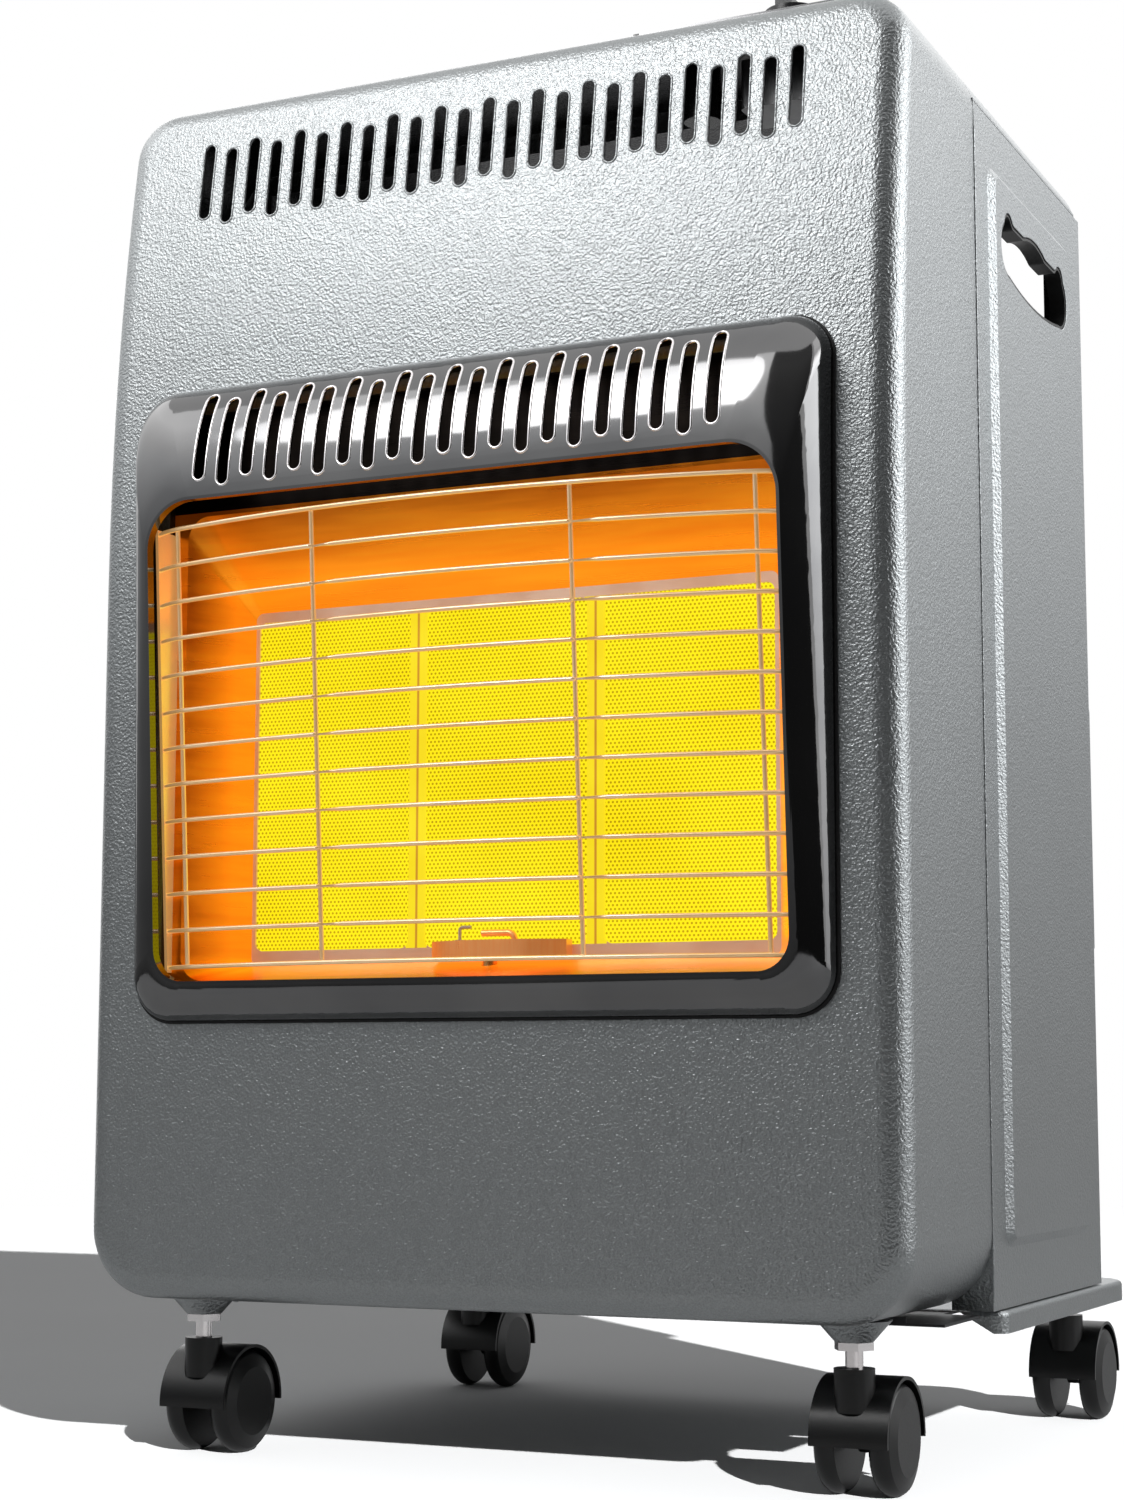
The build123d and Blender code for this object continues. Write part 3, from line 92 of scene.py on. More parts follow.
# ------------------------------------------------------------------ material helpers
def new_material(name):
    """A node material, its tree and its surface shader."""
    material = bpy.data.materials.new(name)
    material.use_nodes = True
    tree = material.node_tree
    return material, tree, tree.nodes["Principled BSDF"]


def node(tree, kind, **values):
    """A node with its properties and unlinked sockets set."""
    made = tree.nodes.new(kind)
    for key, value in values.items():
        if key in made.inputs:
            made.inputs[key].default_value = value
        else:
            setattr(made, key, value)
    return made


def place(tree):
    """The object's own coordinates, in metres."""
    return node(tree, "ShaderNodeTexCoord").outputs["Object"]


def axes(tree, vector):
    """The X, Y and Z sockets of a vector."""
    made = node(tree, "ShaderNodeSeparateXYZ")
    tree.links.new(vector, made.inputs["Vector"])
    return made.outputs


def noise(tree, vector, scale, detail=2.0):
    """Soft random values between 0 and 1."""
    made = node(tree, "ShaderNodeTexNoise")
    made.inputs["Scale"].default_value = scale
    made.inputs["Detail"].default_value = detail
    tree.links.new(vector, made.inputs["Vector"])
    return made.outputs["Fac"]


def ramp(tree, value, stops):
    """A colour ramp; stops are (position, (r, g, b)) pairs."""
    made = node(tree, "ShaderNodeValToRGB")
    elements = made.color_ramp.elements
    while len(elements) < len(stops):
        elements.new(0.5)
    for element, (position, colour) in zip(elements, stops):
        element.position = position
        element.color = (*colour, 1.0)
    tree.links.new(value, made.inputs["Fac"])
    return made.outputs["Color"]


def mottle(tree, value, low, high, edge=0.3):
    """A ramp between two colours with flat ends as wide as the edge."""
    return ramp(tree, value, [(edge, low), (1.0 - edge, high)])


def blend(tree, share, first, second):
    """Two colours mixed by a share; each is a socket or an (r, g, b) tuple."""
    made = node(tree, "ShaderNodeMix", data_type="RGBA")
    tree.links.new(share, made.inputs["Factor"])
    for key, colour in (("A", first), ("B", second)):
        if isinstance(colour, tuple):
            made.inputs[key].default_value = (*colour, 1.0)
        else:
            tree.links.new(colour, made.inputs[key])
    return made.outputs["Result"]


def spread(tree, value, low, high):
    """A 0 to 1 value mapped between two numbers."""
    made = node(tree, "ShaderNodeMapRange")
    made.inputs["To Min"].default_value = low
    made.inputs["To Max"].default_value = high
    tree.links.new(value, made.inputs["Value"])
    return made.outputs["Result"]


def soft_step(tree, value, low, high):
    """0 below the low number and 1 above the high one, with a soft rise between."""
    made = node(tree, "ShaderNodeMapRange", interpolation_type="SMOOTHSTEP")
    made.inputs["From Min"].default_value = low
    made.inputs["From Max"].default_value = high
    tree.links.new(value, made.inputs["Value"])
    return made.outputs["Result"]


def bump(tree, shader, height, strength, distance):
    """Fine relief on a shader."""
    made = node(tree, "ShaderNodeBump")
    made.inputs["Strength"].default_value = strength
    made.inputs["Distance"].default_value = distance
    tree.links.new(height, made.inputs["Height"])
    tree.links.new(made.outputs["Normal"], shader.inputs["Normal"])


def stretched(tree, vector, scale):
    """Coordinates squeezed along each axis, for brushed or drawn grain."""
    made = node(tree, "ShaderNodeMapping")
    made.inputs["Scale"].default_value = scale
    tree.links.new(vector, made.inputs["Vector"])
    return made.outputs["Vector"]


def maths(tree, operation, first, second=None):
    """One sum on sockets or numbers."""
    made = node(tree, "ShaderNodeMath", operation=operation)
    for socket, value in zip(made.inputs, (first, second)):
        if value is None:
            continue
        if isinstance(value, (int, float)):
            socket.default_value = value
        else:
            tree.links.new(value, socket)
    return made.outputs["Value"]


def mixed_sum(tree, first, second, share):
    """Two values added, the first with its share and the second with the rest."""
    return maths(
        tree,
        "ADD",
        maths(tree, "MULTIPLY", first, share),
        maths(tree, "MULTIPLY", second, 1.0 - share),
    )


def inner_side(tree, middle):
    """1 on faces that look towards a middle point, 0 on faces that look away from it."""
    coordinates = node(tree, "ShaderNodeTexCoord")
    away = node(tree, "ShaderNodeVectorMath", operation="SUBTRACT")
    away.inputs[1].default_value = middle
    tree.links.new(coordinates.outputs["Object"], away.inputs[0])
    facing = node(tree, "ShaderNodeVectorMath", operation="DOT_PRODUCT")
    tree.links.new(away.outputs["Vector"], facing.inputs[0])
    tree.links.new(coordinates.outputs["Normal"], facing.inputs[1])
    return maths(tree, "LESS_THAN", facing.outputs["Value"], 0.0)


# ------------------------------------------------------------------ materials
def powder_coat(name, paint_inner_shade):
    """Silver powder coat with an orange-peel grain; when the second argument is true, the inner
    side carries painted shade, a near-black tone for the dark inside of the cabinet.
    """
    material, tree, shader = new_material(name)
    where = place(tree)
    grain = noise(tree, where, 740.0, 1.5)
    fleck = noise(tree, where, 1300.0, 1.0)
    cloud = noise(tree, where, 9.0, 3.0)
    tint = mottle(tree, fleck, (0.345, 0.361, 0.367), (0.415, 0.434, 0.441), 0.35)
    # painted shade: faces that look into the cabinet are near-black, standing in for its dark
    # inside
    if paint_inner_shade:
        inner_shade_tone = mottle(tree, cloud, (0.028, 0.028, 0.03), (0.042, 0.042, 0.044))
        tint = blend(tree, inner_side(tree, cabinet_middle), tint, inner_shade_tone)
    tree.links.new(tint, shader.inputs["Base Color"])
    shader.inputs["Metallic"].default_value = 0.75
    tree.links.new(spread(tree, cloud, 0.29, 0.35), shader.inputs["Roughness"])
    bump(tree, shader, grain, 0.8, 0.00062)
    return material


def dark_chrome():
    """Dark polished chrome with faint heat haze."""
    material, tree, shader = new_material("dark_chrome")
    where = place(tree)
    cloud = noise(tree, where, 14.0, 3.0)
    tint = mottle(tree, cloud, (0.16, 0.16, 0.163), (0.21, 0.208, 0.208))
    tree.links.new(tint, shader.inputs["Base Color"])
    shader.inputs["Metallic"].default_value = 1.0
    tree.links.new(spread(tree, cloud, 0.05, 0.10), shader.inputs["Roughness"])
    bump(tree, shader, noise(tree, where, 30.0, 1.0), 0.03, 0.0005)
    return material


def bright_chrome(name, warm):
    """Bright plated wire or bolt; the last argument tints it orange and gives it a painted glow,
    both standing in for the burner's light on the metal.
    """
    material, tree, shader = new_material(name)
    where = place(tree)
    streak = noise(tree, where, 40.0)
    # the second tint carries more of the painted burner light
    cool = (0.92, 0.90 - 0.10 * warm, 0.90 - 0.30 * warm)
    hot = (0.95, 0.90 - 0.24 * warm, 0.90 - 0.55 * warm)
    tree.links.new(mottle(tree, streak, cool, hot, 0.35), shader.inputs["Base Color"])
    shader.inputs["Metallic"].default_value = 1.0 - 0.45 * warm
    rough = spread(tree, streak, 0.12 + 0.1 * warm, 0.2 + 0.1 * warm)
    tree.links.new(rough, shader.inputs["Roughness"])
    bump(tree, shader, noise(tree, where, 250.0), 0.03, 0.0001)
    # painted glow: an orange emission for the burner's light on the wire
    shader.inputs["Emission Color"].default_value = (0.95, 0.52, 0.18, 1.0)
    shader.inputs["Emission Strength"].default_value = 0.34 * warm
    return material


def brushed_steel(name, low, high, rough=0.32, heat=0.0):
    """Drawn sheet steel with upright grain."""
    material, tree, shader = new_material(name)
    where = place(tree)
    lines = noise(tree, stretched(tree, where, (1.0, 1.0, 0.06)), 900.0, 3.0)
    stain = noise(tree, where, 22.0, 3.0)
    tint = mottle(tree, mixed_sum(tree, lines, stain, 0.4), low, high, 0.35)
    tree.links.new(tint, shader.inputs["Base Color"])
    shader.inputs["Metallic"].default_value = 0.9
    tree.links.new(spread(tree, lines, rough - 0.08, rough + 0.1), shader.inputs["Roughness"])
    bump(tree, shader, lines, 0.15, 0.0002)
    # painted glow: the last argument sets an orange emission that stands in for the burner's
    # light on the steel
    shader.inputs["Emission Color"].default_value = (0.85, 0.26, 0.06, 1.0)
    shader.inputs["Emission Strength"].default_value = heat
    return material


def glowing_plaque():
    """Pored ceramic that glows yellow, with staggered pores of a deeper yellow."""
    material, tree, shader = new_material("glowing_ceramic")
    where = place(tree)
    along = axes(tree, where)
    row_pitch = pore_pitch * math.sqrt(3.0)

    def pore_distance(shift):
        """The distance to the nearest pore of one of the two lattices."""
        squares = []
        for axis, pitch in (("X", pore_pitch), ("Z", row_pitch)):
            cell = maths(tree, "ADD", maths(tree, "DIVIDE", along[axis], pitch), shift)
            off = maths(tree, "SUBTRACT", maths(tree, "FRACT", cell), 0.5)
            off = maths(tree, "MULTIPLY", off, pitch)
            squares.append(maths(tree, "MULTIPLY", off, off))
        return maths(tree, "SQRT", maths(tree, "ADD", *squares))

    nearest = maths(tree, "MINIMUM", pore_distance(0.0), pore_distance(0.5))
    edge_low = pore_radius * (1.0 - pore_blur)
    edge_high = pore_radius * (1.0 + pore_blur)
    web = soft_step(tree, nearest, edge_low, edge_high)
    cloud = noise(tree, where, 16.0)
    hot = mottle(tree, cloud, (0.97, 0.79, 0.006), (1.0, 0.89, 0.014))
    deep = mottle(tree, cloud, (0.46, 0.30, 0.0), (0.56, 0.40, 0.002))
    tree.links.new(blend(tree, web, deep, hot), shader.inputs["Emission Color"])
    shader.inputs["Emission Strength"].default_value = 1.0
    shader.inputs["Base Color"].default_value = (0.12, 0.08, 0.01, 1.0)
    shader.inputs["Roughness"].default_value = 0.95
    shader.inputs["Specular IOR Level"].default_value = 0.1
    bump(tree, shader, web, 0.4, 0.0004)
    return material


def burner_frame_steel():
    """Heat-tinted steel whose strips between the plaques glow, with a seam down each; the rest of
    the frame carries a faint painted glow for the plaques' light on it.
    """
    material, tree, shader = new_material("burner_frame_steel")
    where = place(tree)
    lines = noise(tree, stretched(tree, where, (0.05, 1.0, 1.0)), 900.0, 3.0)
    stain = noise(tree, where, 30.0, 3.0)
    along = axes(tree, where)
    side = maths(tree, "ABSOLUTE", along["X"])
    off = maths(tree, "ABSOLUTE", maths(tree, "SUBTRACT", side, plaque_pitch / 2.0))
    inside = maths(tree, "LESS_THAN", off, strip_half)
    above = maths(tree, "GREATER_THAN", along["Z"], plaque_low)
    below = maths(tree, "LESS_THAN", along["Z"], plaque_high)
    strip = maths(tree, "MULTIPLY", inside, maths(tree, "MULTIPLY", above, below))
    tint = mottle(tree, stain, (0.78, 0.50, 0.36), (0.90, 0.68, 0.55), 0.35)
    tree.links.new(blend(tree, strip, tint, (0.16, 0.11, 0.01)), shader.inputs["Base Color"])
    shader.inputs["Metallic"].default_value = 0.85
    tree.links.new(spread(tree, lines, 0.3, 0.45), shader.inputs["Roughness"])
    bump(tree, shader, lines, 0.15, 0.0002)
    brown = mottle(tree, stain, (0.50, 0.20, 0.02), (0.62, 0.28, 0.03))
    yellow = mottle(tree, stain, (0.86, 0.66, 0.01), (0.92, 0.76, 0.02))
    glow = blend(tree, soft_step(tree, off, seam_dark, seam_end), brown, yellow)
    # painted glow: a faint warm emission on the frame outside the strips stands in for the
    # plaques' light
    strip_glow_and_painted_light = blend(tree, strip, (0.16, 0.09, 0.055), glow)
    tree.links.new(strip_glow_and_painted_light, shader.inputs["Emission Color"])
    shader.inputs["Emission Strength"].default_value = 1.0
    return material


def reflector_with_painted_light():
    """Drawn reflector steel. Inside, below the lip, it carries painted light of the plaques: a
    saturated orange base colour as a painted reflection and a painted glow that grows towards
    them. Outside and above the lip it is near-black.
    """
    material, tree, shader = new_material("reflector_steel")
    where = place(tree)
    lines = noise(tree, stretched(tree, where, (0.03, 0.08, 1.0)), 300.0, 3.0)
    streaks = noise(tree, stretched(tree, where, (0.10, 0.16, 1.0)), 90.0, 3.0)
    both = mixed_sum(tree, lines, streaks, 0.12)
    along = axes(tree, where)
    below_lip = maths(tree, "LESS_THAN", along["Z"], box_lip)
    inner = maths(tree, "MULTIPLY", inner_side(tree, box_middle), below_lip)
    # near-black outside and above the lip
    near_black_tone = mottle(tree, both, (0.012, 0.009, 0.008), (0.03, 0.022, 0.018))
    # painted reflection: the saturated orange stands in for the plaques' light on the steel
    orange = ramp(tree, both, [(0.30, (0.58, 0.14, 0.006)), (0.66, (0.95, 0.36, 0.02))])
    tree.links.new(blend(tree, inner, near_black_tone, orange), shader.inputs["Base Color"])
    shader.inputs["Metallic"].default_value = 0.9
    tree.links.new(spread(tree, lines, 0.22, 0.36), shader.inputs["Roughness"])
    bump(tree, shader, lines, 0.08, 0.0002)
    near = soft_step(tree, along["Y"], painted_glow_front, painted_glow_back)
    # painted glow: the plaques' light on the inner faces, stronger towards them
    heat = ramp(tree, near, [(0.15, (0.05, 0.008, 0.0)), (0.75, (0.62, 0.17, 0.004))])
    tree.links.new(heat, shader.inputs["Emission Color"])
    tree.links.new(maths(tree, "MULTIPLY", inner, 1.1), shader.inputs["Emission Strength"])
    return material


def moulded_plastic(name, shade, rough, grain_scale=1400.0):
    """Dark moulded plastic or paint with a fine grain."""
    material, tree, shader = new_material(name)
    where = place(tree)
    grain = noise(tree, where, grain_scale)
    cloud = noise(tree, where, 60.0)
    low = tuple(value * 0.8 for value in shade)
    high = tuple(value * 1.25 for value in shade)
    tree.links.new(mottle(tree, cloud, low, high), shader.inputs["Base Color"])
    tree.links.new(spread(tree, grain, rough - 0.06, rough + 0.08), shader.inputs["Roughness"])
    bump(tree, shader, grain, 0.18, 0.00012)
    return material


def metal(name, low, high, rough):
    """Turned or cast metal with mottled colour."""
    material, tree, shader = new_material(name)
    where = place(tree)
    cloud = noise(tree, where, 180.0, 3.0)
    tree.links.new(mottle(tree, cloud, low, high), shader.inputs["Base Color"])
    shader.inputs["Metallic"].default_value = 0.95
    tree.links.new(spread(tree, cloud, rough - 0.08, rough + 0.1), shader.inputs["Roughness"])
    bump(tree, shader, noise(tree, where, 1200.0), 0.1, 0.0001)
    return material


def white_ceramic():
    """Glazed insulator with faint specks."""
    material, tree, shader = new_material("white_ceramic")
    speck = noise(tree, place(tree), 900.0)
    tint = mottle(tree, speck, (0.72, 0.68, 0.6), (0.85, 0.82, 0.76))
    tree.links.new(tint, shader.inputs["Base Color"])
    shader.inputs["Roughness"].default_value = 0.35
    return material


silver = powder_coat("silver_powder_coat", False)
# this silver carries painted shade on its inner side
silver_with_inner_shade = powder_coat("powder_coat_inner_shade", True)
chrome_dark = dark_chrome()
# the guard wires carry the painted burner light
wire_chrome = bright_chrome("guard_wire_chrome", 0.9)
bolt_chrome = bright_chrome("bolt_chrome", 0.0)
# orange heat tint, with a painted glow of strength 0.3 for the burner's light
heat_steel = brushed_steel(
    "heat_tinted_steel", (0.90, 0.42, 0.16), (0.98, 0.58, 0.28), 0.3, 0.3
)
# near-black steel for the heat shield and baffle
near_black_steel = brushed_steel("near_black_steel", (0.03, 0.016, 0.012), (0.07, 0.04, 0.032), 0.5)
reflector_steel = reflector_with_painted_light()
inner_steel = brushed_steel("inner_steel", (0.42, 0.42, 0.43), (0.58, 0.58, 0.6))
ceramic_glow = glowing_plaque()
frame_steel = burner_frame_steel()
dark_paint = moulded_plastic("black_paint", (0.03, 0.03, 0.032), 0.45, 700.0)
hood_black = moulded_plastic("hood_black", (0.006, 0.006, 0.0063), 0.30)
wheel_black = moulded_plastic("wheel_black", (0.006, 0.006, 0.0063), 0.34)
grip_black = moulded_plastic("grip_black", (0.008, 0.008, 0.0084), 0.5)
knob_black = moulded_plastic("knob_black", (0.03, 0.03, 0.032), 0.25)
seal_black = moulded_plastic("seal_black", (0.008, 0.008, 0.008), 0.6)
brass = metal("brass", (0.55, 0.38, 0.14), (0.78, 0.58, 0.26), 0.3)
alloy = metal("cast_alloy", (0.20, 0.20, 0.205), (0.30, 0.30, 0.305), 0.4)
steel = metal("turned_steel", (0.5, 0.5, 0.5), (0.66, 0.66, 0.66), 0.28)
ceramic = white_ceramic()

finishes = {
    silver_with_inner_shade: ["front_panel", "side_panel_left", "side_panel_right", "top_cover"],
    silver: ["base_plate", "rear_guard", "front_feet", "rear_feet", "guard_pockets"],
    chrome_dark: ["bezel", "control_pod"],
    wire_chrome: ["guard_grille"],
    bolt_chrome: ["caster_stems"],
    reflector_steel: ["reflector_box"],
    frame_steel: ["burner_frame"],
    heat_steel: ["pilot_shield", "thermocouple"],
    near_black_steel: ["heat_shield", "heat_baffle"],
    inner_steel: ["injector_bracket", "burner_left", "burner_center", "burner_right"],
    ceramic_glow: ["plaque_left", "plaque_center", "plaque_right"],
    dark_paint: ["underframe", "valve_bracket"],
    seal_black: ["bezel_gasket"],
    brass: ["injectors", "hose_nozzle", "pilot_burner"],
    alloy: ["gas_valve", "gas_pipe_left", "gas_pipe_center", "gas_pipe_right"],
    steel: ["valve_spindle"],
    ceramic: ["spark_electrode"],
    knob_black: ["control_knob", "igniter_body", "igniter_button"],
    grip_black: ["handle_grip_left", "handle_grip_right"],
    hood_black: [],
    wheel_black: [],
}
caster_finishes = {
    "caster_hood": hood_black,
    "caster_wheel": wheel_black,
    "caster_axle": steel,
}
for name in nodes:
    for start, material in caster_finishes.items():
        if name.startswith(start):
            finishes[material].append(name)
for material, names in finishes.items():
    for name in names:
        nodes[name].data.materials.clear()
        nodes[name].data.materials.append(material)


# ------------------------------------------------------------------ mesh helpers
def new_object(name, fill, material, smooth):
    """A new object in the scene whose mesh is made by a function that fills a bmesh."""
    work = bmesh.new()
    fill(work)
    mesh = bpy.data.meshes.new(name)
    work.to_mesh(mesh)
    work.free()
    for polygon in mesh.polygons:
        polygon.use_smooth = smooth
    made = bpy.data.objects.new(name, mesh)
    bpy.context.scene.collection.objects.link(made)
    made.data.materials.append(material)
    return made


def add_piece(name, fill, material, body):
    """A visible piece that rides on a body."""
    made = new_object(name, fill, material, True)
    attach(made, body)


def stage_piece(name, fill, material):
    """A piece of the studio."""
    piece = new_object(name, fill, material, False)
    return piece


def ring(work, centre, across, out, radius, sides):
    """A ring of vertices round a centre, in the plane of two directions."""
    turns = [2.0 * math.pi * k / sides for k in range(sides)]
    return [
        work.verts.new(centre + radius * (math.cos(turn) * across + math.sin(turn) * out))
        for turn in turns
    ]


def join_rings(work, first, second):
    """A band of faces between two rings."""
    for k in range(len(first)):
        after = (k + 1) % len(first)
        work.faces.new((first[k], first[after], second[after], second[k]))


def bead(work, path):
    """A closed round bead along a loop of points."""
    rings = []
    for i, point in enumerate(path):
        ahead = (path[(i + 1) % len(path)] - path[i - 1]).normalized()
        across = ahead.cross(Vector((0.0, -1.0, 0.0))).normalized()
        out = across.cross(ahead).normalized()
        rings.append(ring(work, point, across, out, rim_radius, rim_sides))
    for i, first in enumerate(rings):
        join_rings(work, first, rings[(i + 1) % len(rings)])


def slot_loop(across, middle, width, length, grow):
    """The outline of an upright slot as (x, z) points, grown outwards."""
    radius = width / 2.0 + grow
    reach = (length - width) / 2.0
    points = []
    for centre, start in ((reach, 0.0), (-reach, math.pi)):
        for k in range(rim_end_steps + 1):
            angle = start + math.pi * k / rim_end_steps
            x = across + radius * math.cos(angle)
            z = middle + centre + radius * math.sin(angle)
            points.append((x, z))
    return points


def filled_in(loop, step):
    """A closed loop of (x, z) points with none further apart than about a step."""
    dense = []
    for k, here in enumerate(loop):
        there = loop[(k + 1) % len(loop)]
        gap = math.hypot(there[0] - here[0], there[1] - here[1])
        cuts = max(1, int(gap / step))
        for c in range(cuts):
            share = c / cuts
            x = here[0] + (there[0] - here[0]) * share
            z = here[1] + (there[1] - here[1]) * share
            dense.append((x, z))
    return dense


def surface_tree(name):
    """A search tree over one CAD node's faces."""
    work = bmesh.new()
    work.from_mesh(nodes[name].data)
    tree = BVHTree.FromBMesh(work)
    work.free()
    return tree


# ------------------------------------------------------------------ trim
def slot_rims(name, surface, row, material):
    """Raised rims round a row of upright slots, laid on a CAD node's front."""
    count, pitch, width, length, top, stagger = row
    tree = surface_tree(surface)

    def fill(work):
        for i in range(count):
            across = (i - (count - 1) / 2.0) * pitch
            middle = top - length / 2.0 - stagger * (i % 2)
            loop = slot_loop(across, middle, width, length, rim_grow)
            outline = []
            for x, z in filled_in(loop, rim_step):
                hit = tree.ray_cast(Vector((x, face_y - 0.1, z)), Vector((0.0, 1.0, 0.0)))[0]
                if hit is not None:
                    outline.append(hit + Vector((0.0, rim_sink, 0.0)))
            if len(outline) > rim_least_points:
                bead(work, outline)

    add_piece(name, fill, material, "heater")


def folded_edge(name, side):
    """The rounded fold that a side panel shows along its front edge."""
    low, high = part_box("side_panel_right" if side > 0 else "side_panel_left")
    length = high[2] - low[2] - 2.0 * fold_end

    def fill(work):
        rings = []
        for share in fold_shares:
            radius = fold_radius * (fold_tip if share in (0.0, 1.0) else 1.0)
            height = low[2] + fold_end + length * share
            centre = Vector((side * panel_half, low[1] + fold_radius, height))
            across = Vector((1.0, 0.0, 0.0))
            out = Vector((0.0, 1.0, 0.0))
            rings.append(ring(work, centre, across, out, radius, fold_sides))
        for first, second in zip(rings, rings[1:]):
            join_rings(work, first, second)
        work.faces.new(rings[0])
        work.faces.new(rings[-1][::-1])
        bmesh.ops.recalc_face_normals(work, faces=work.faces)

    add_piece(name, fill, silver, "heater")


panel_vents = (vent_count, vent_pitch, vent_width, vent_length, vent_top, vent_stagger)
dome_vents = (
    dome_vent_count,
    dome_vent_pitch,
    dome_vent_width,
    dome_vent_length,
    dome_vent_top,
    dome_vent_stagger,
)
slot_rims("panel_vent_rims", "front_panel", panel_vents, silver)
slot_rims("surround_vent_rims", "bezel", dome_vents, bolt_chrome)
folded_edge("side_fold_left", -1.0)
folded_edge("side_fold_right", 1.0)

# ------------------------------------------------------------------ floor and studio walls
floor_half = 8.0
floor_fade_start = 1.95
floor_fade_end = 2.8
card_radius = 1.9
card_height = 2.75
card_steps = 24


def white_from(tree, shaded, share, surface):
    """Mix a shader with plain white where rays that look at the background meet it.

    Camera, glossy and transmission rays see the white. With a share, only that much of it
    shows and the white is an emission; without one it is a background.
    """
    path = node(tree, "ShaderNodeLightPath")
    bounced = maths(
        tree,
        "MAXIMUM",
        path.outputs["Is Glossy Ray"],
        path.outputs["Is Transmission Ray"],
    )
    seen = maths(tree, "MAXIMUM", path.outputs["Is Camera Ray"], bounced)
    kind = "ShaderNodeBackground"
    if share is not None:
        seen = maths(tree, "MULTIPLY", seen, share)
        kind = "ShaderNodeEmission"
    white = node(tree, kind)
    white.inputs["Color"].default_value = (1.0, 1.0, 1.0, 1.0)
    mixed = node(tree, "ShaderNodeMixShader")
    tree.links.new(seen, mixed.inputs["Fac"])
    tree.links.new(shaded, mixed.inputs[1])
    tree.links.new(white.outputs[0], mixed.inputs[2])
    tree.links.new(mixed.outputs["Shader"], surface)


def pale_floor():
    """A floor that is pale to the camera, dull to other rays, and fades out to white."""
    material, tree, shader = new_material("pale_floor")
    where = place(tree)
    grain = noise(tree, where, 3.0)
    pale = mottle(tree, grain, (0.78, 0.785, 0.79), (0.8, 0.805, 0.81))
    dull = mottle(tree, grain, (0.27, 0.273, 0.276), (0.29, 0.293, 0.296))
    path = node(tree, "ShaderNodeLightPath")
    tint = blend(tree, path.outputs["Is Camera Ray"], dull, pale)
    tree.links.new(tint, shader.inputs["Base Color"])
    shader.inputs["Roughness"].default_value = 0.9
    shader.inputs["Specular IOR Level"].default_value = 0.05
    length = node(tree, "ShaderNodeVectorMath", operation="LENGTH")
    tree.links.new(where, length.inputs[0])
    far = soft_step(tree, length.outputs["Value"], floor_fade_start, floor_fade_end)
    surface = tree.nodes["Material Output"].inputs["Surface"]
    white_from(tree, shader.outputs["BSDF"], far, surface)
    return material


def studio_card(name, first_turn, last_turn, level, low, crown):
    """A curved studio wall round the front or side, seen only in reflections.

    It is dark low down; low is its tone at the floor and crown its tone high up.
    """
    material, tree, shader = new_material(name)
    tree.nodes.remove(shader)
    share = maths(tree, "DIVIDE", axes(tree, place(tree))["Z"], card_height)
    tone = ramp(
        tree,
        share,
        [
            (0.0, (low, low, low)),
            (0.20, (low + 0.09, low + 0.092, low + 0.094)),
            (0.46, (0.52, 0.526, 0.532)),
            (0.54, (0.48 + 0.16 * crown,) * 3),
            (0.64, (crown * 0.81,) * 3),
            (0.75, (crown,) * 3),
        ],
    )
    glow = node(tree, "ShaderNodeEmission")
    tree.links.new(tone, glow.inputs["Color"])
    glow.inputs["Strength"].default_value = level
    surface = tree.nodes["Material Output"].inputs["Surface"]
    tree.links.new(glow.outputs["Emission"], surface)

    def fill(work):
        columns = []
        for k in range(card_steps + 1):
            turn = math.radians(first_turn + (last_turn - first_turn) * k / card_steps)
            x = card_radius * math.sin(turn)
            y = -card_radius * math.cos(turn)
            columns.append([work.verts.new((x, y, z)) for z in (0.0, card_height)])
        for left, right in zip(columns, columns[1:]):
            work.faces.new((left[0], right[0], right[1], left[1]))

    card = stage_piece(name, fill, material)
    card.visible_camera = False
    card.visible_diffuse = False
    card.visible_shadow = False
    card.visible_transmission = False


floor = stage_piece(
    "floor",
    lambda work: bmesh.ops.create_grid(work, x_segments=2, y_segments=2, size=floor_half),
    pale_floor(),
)
floor.visible_diffuse = False
studio_card("studio_card_left", -105.0, -4.0, 2.2, 0.03, 1.0)
studio_card("studio_card_middle", -4.0, 76.0, 0.15, 0.1, 1.0)
studio_card("studio_card_right", 84.0, 130.0, 10.0, 0.08, 0.18)
studio_card("studio_card_side", 130.0, 180.0, 2.2, 0.14, 1.0)

# ------------------------------------------------------------------ world
world = bpy.data.worlds.new("studio")
bpy.context.scene.world = world
world.use_nodes = True
sky = world.node_tree
background = sky.nodes["Background"]
direction = node(sky, "ShaderNodeTexCoord").outputs["Generated"]
sky_tone = ramp(
    sky,
    spread(sky, axes(sky, direction)["Z"], 0.5, 1.0),
    [
        (0.5, (0.30, 0.305, 0.31)),
        (0.7, (0.75, 0.755, 0.76)),
        (1.0, (1.0, 1.0, 1.0)),
    ],
)
sky.links.new(sky_tone, background.inputs["Color"])
background.inputs["Strength"].default_value = 0.3
sky_surface = sky.nodes["World Output"].inputs["Surface"]
white_from(sky, background.outputs["Background"], None, sky_surface)


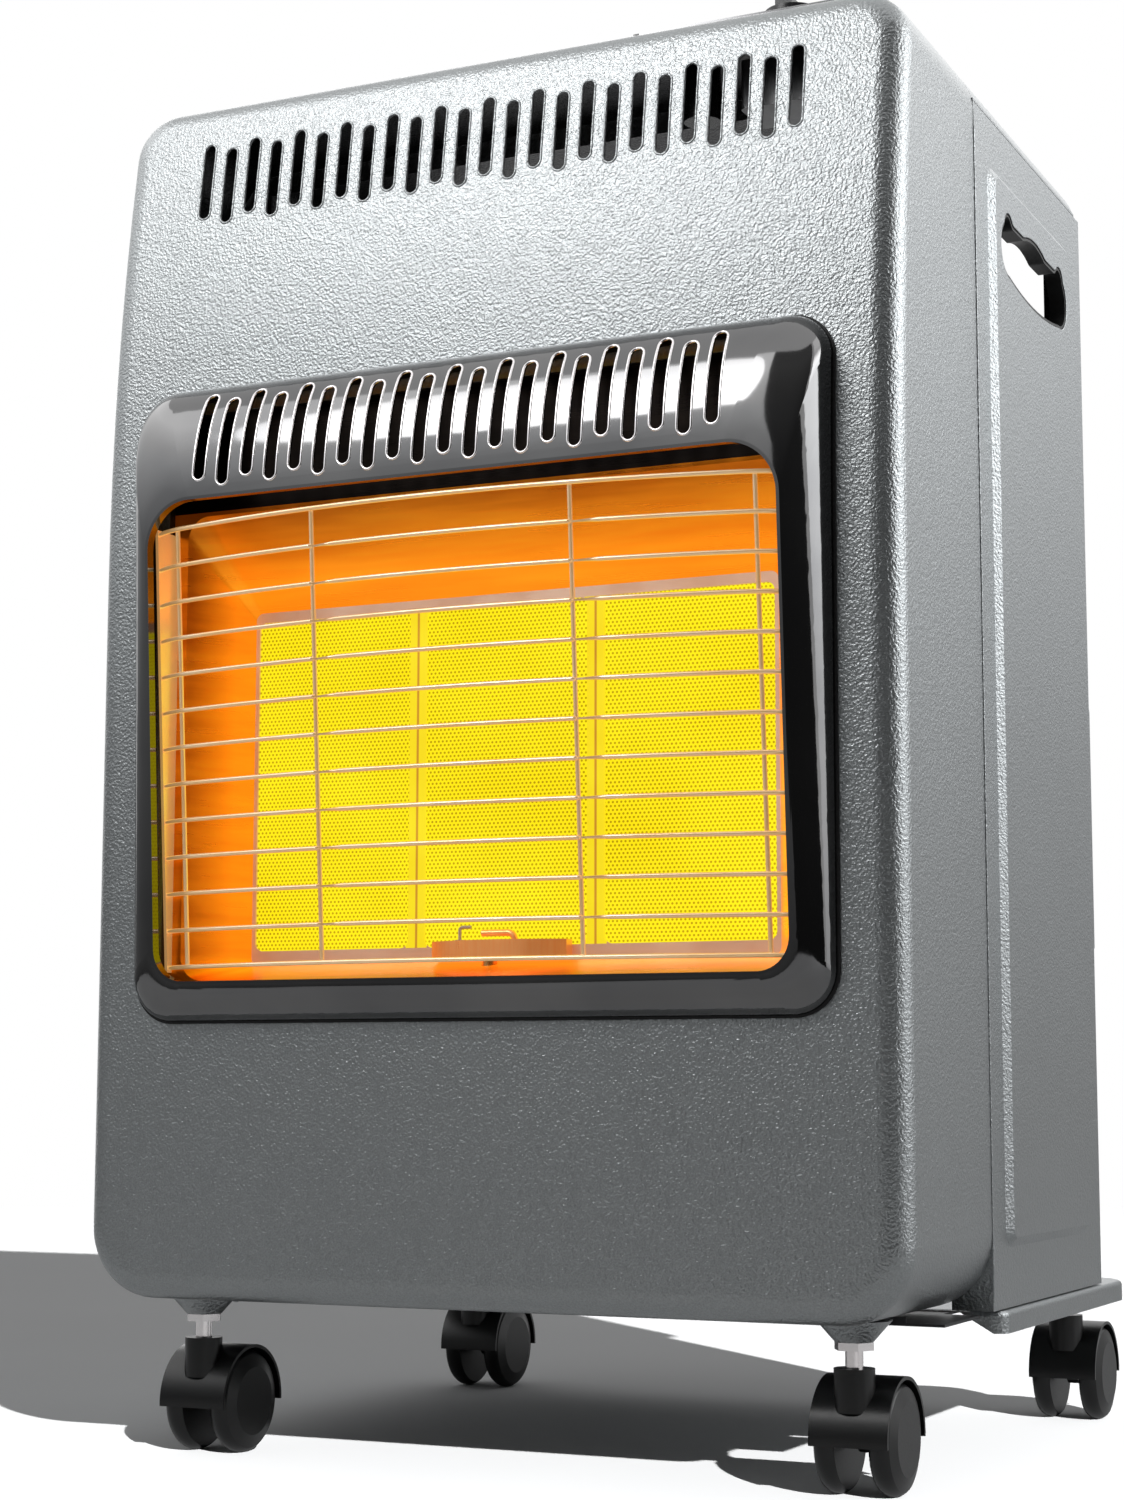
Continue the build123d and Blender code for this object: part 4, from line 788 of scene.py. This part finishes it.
# ------------------------------------------------------------------ lamps
def aimed(name, kind, energy, position, target, **values):
    """A lamp that points at a target."""
    data = bpy.data.lights.new(name, kind)
    data.energy = energy
    for key, value in values.items():
        setattr(data, key, value)
    lamp = bpy.data.objects.new(name, data)
    lamp.location = position
    aim = Vector(target) - Vector(position)
    lamp.rotation_euler = aim.to_track_quat("-Z", "Y").to_euler()
    bpy.context.scene.collection.objects.link(lamp)
    return lamp


floor_sun = aimed("floor_sun", "SUN", 8.6, (3.2, -3.0, 2.0), (0.0, 0.0, 0.0), angle=0.012)
soft_top = aimed(
    "soft_top",
    "AREA",
    2.1,
    (-0.65, -1.3 + face_y, 1.72),
    (0.0, face_y, 1.05),
    shape="ELLIPSE",
    size=0.95,
    size_y=0.86,
    spread=math.radians(80.0),
)
rear_fill = aimed("rear_fill", "AREA", 16.0, (-1.5, 2.0, 1.7), (0.0, 0.1, 0.35), size=1.6)

# The sun lights the floor alone, and the two area lamps light all but the floor.
floor_only = bpy.data.collections.new("floor_only")
floor_only.objects.link(floor)
floor_sun.light_linking.receiver_collection = floor_only
not_floor = bpy.data.collections.new("not_floor")
not_floor.objects.link(floor)
not_floor.collection_objects[0].light_linking.link_state = "EXCLUDE"
soft_top.light_linking.receiver_collection = not_floor
rear_fill.light_linking.receiver_collection = not_floor

# ------------------------------------------------------------------ camera, solved from the photo
photo_width, photo_height = 1124, 1500
axis_across, axis_down = 562.35, 756.58  # where the camera's axis meets the photo
focal_pixels = 2677.9
sensor_width = 36.0
view_turn = math.radians(25.11)
view_rise = math.radians(7.0436)
view_roll = math.radians(0.118)
camera_data = bpy.data.cameras.new("camera")
camera_data.sensor_width = sensor_width
camera_data.lens = focal_pixels * sensor_width / photo_height
camera_data.shift_x = (photo_width / 2 - axis_across) / photo_height
camera_data.shift_y = (axis_down - photo_height / 2) / photo_height
camera = bpy.data.objects.new("camera", camera_data)
camera.location = (0.5648, -1.1024 + face_y, 0.17986)
look = Vector(
    (
        -math.sin(view_turn) * math.cos(view_rise),
        math.cos(view_turn) * math.cos(view_rise),
        math.sin(view_rise),
    )
)
turn = look.to_track_quat("-Z", "Y").to_matrix() @ Matrix.Rotation(view_roll, 3, "Z")
camera.rotation_euler = turn.to_euler()
bpy.context.scene.collection.objects.link(camera)
bpy.context.scene.camera = camera
bpy.context.scene.view_settings.view_transform = "Standard"
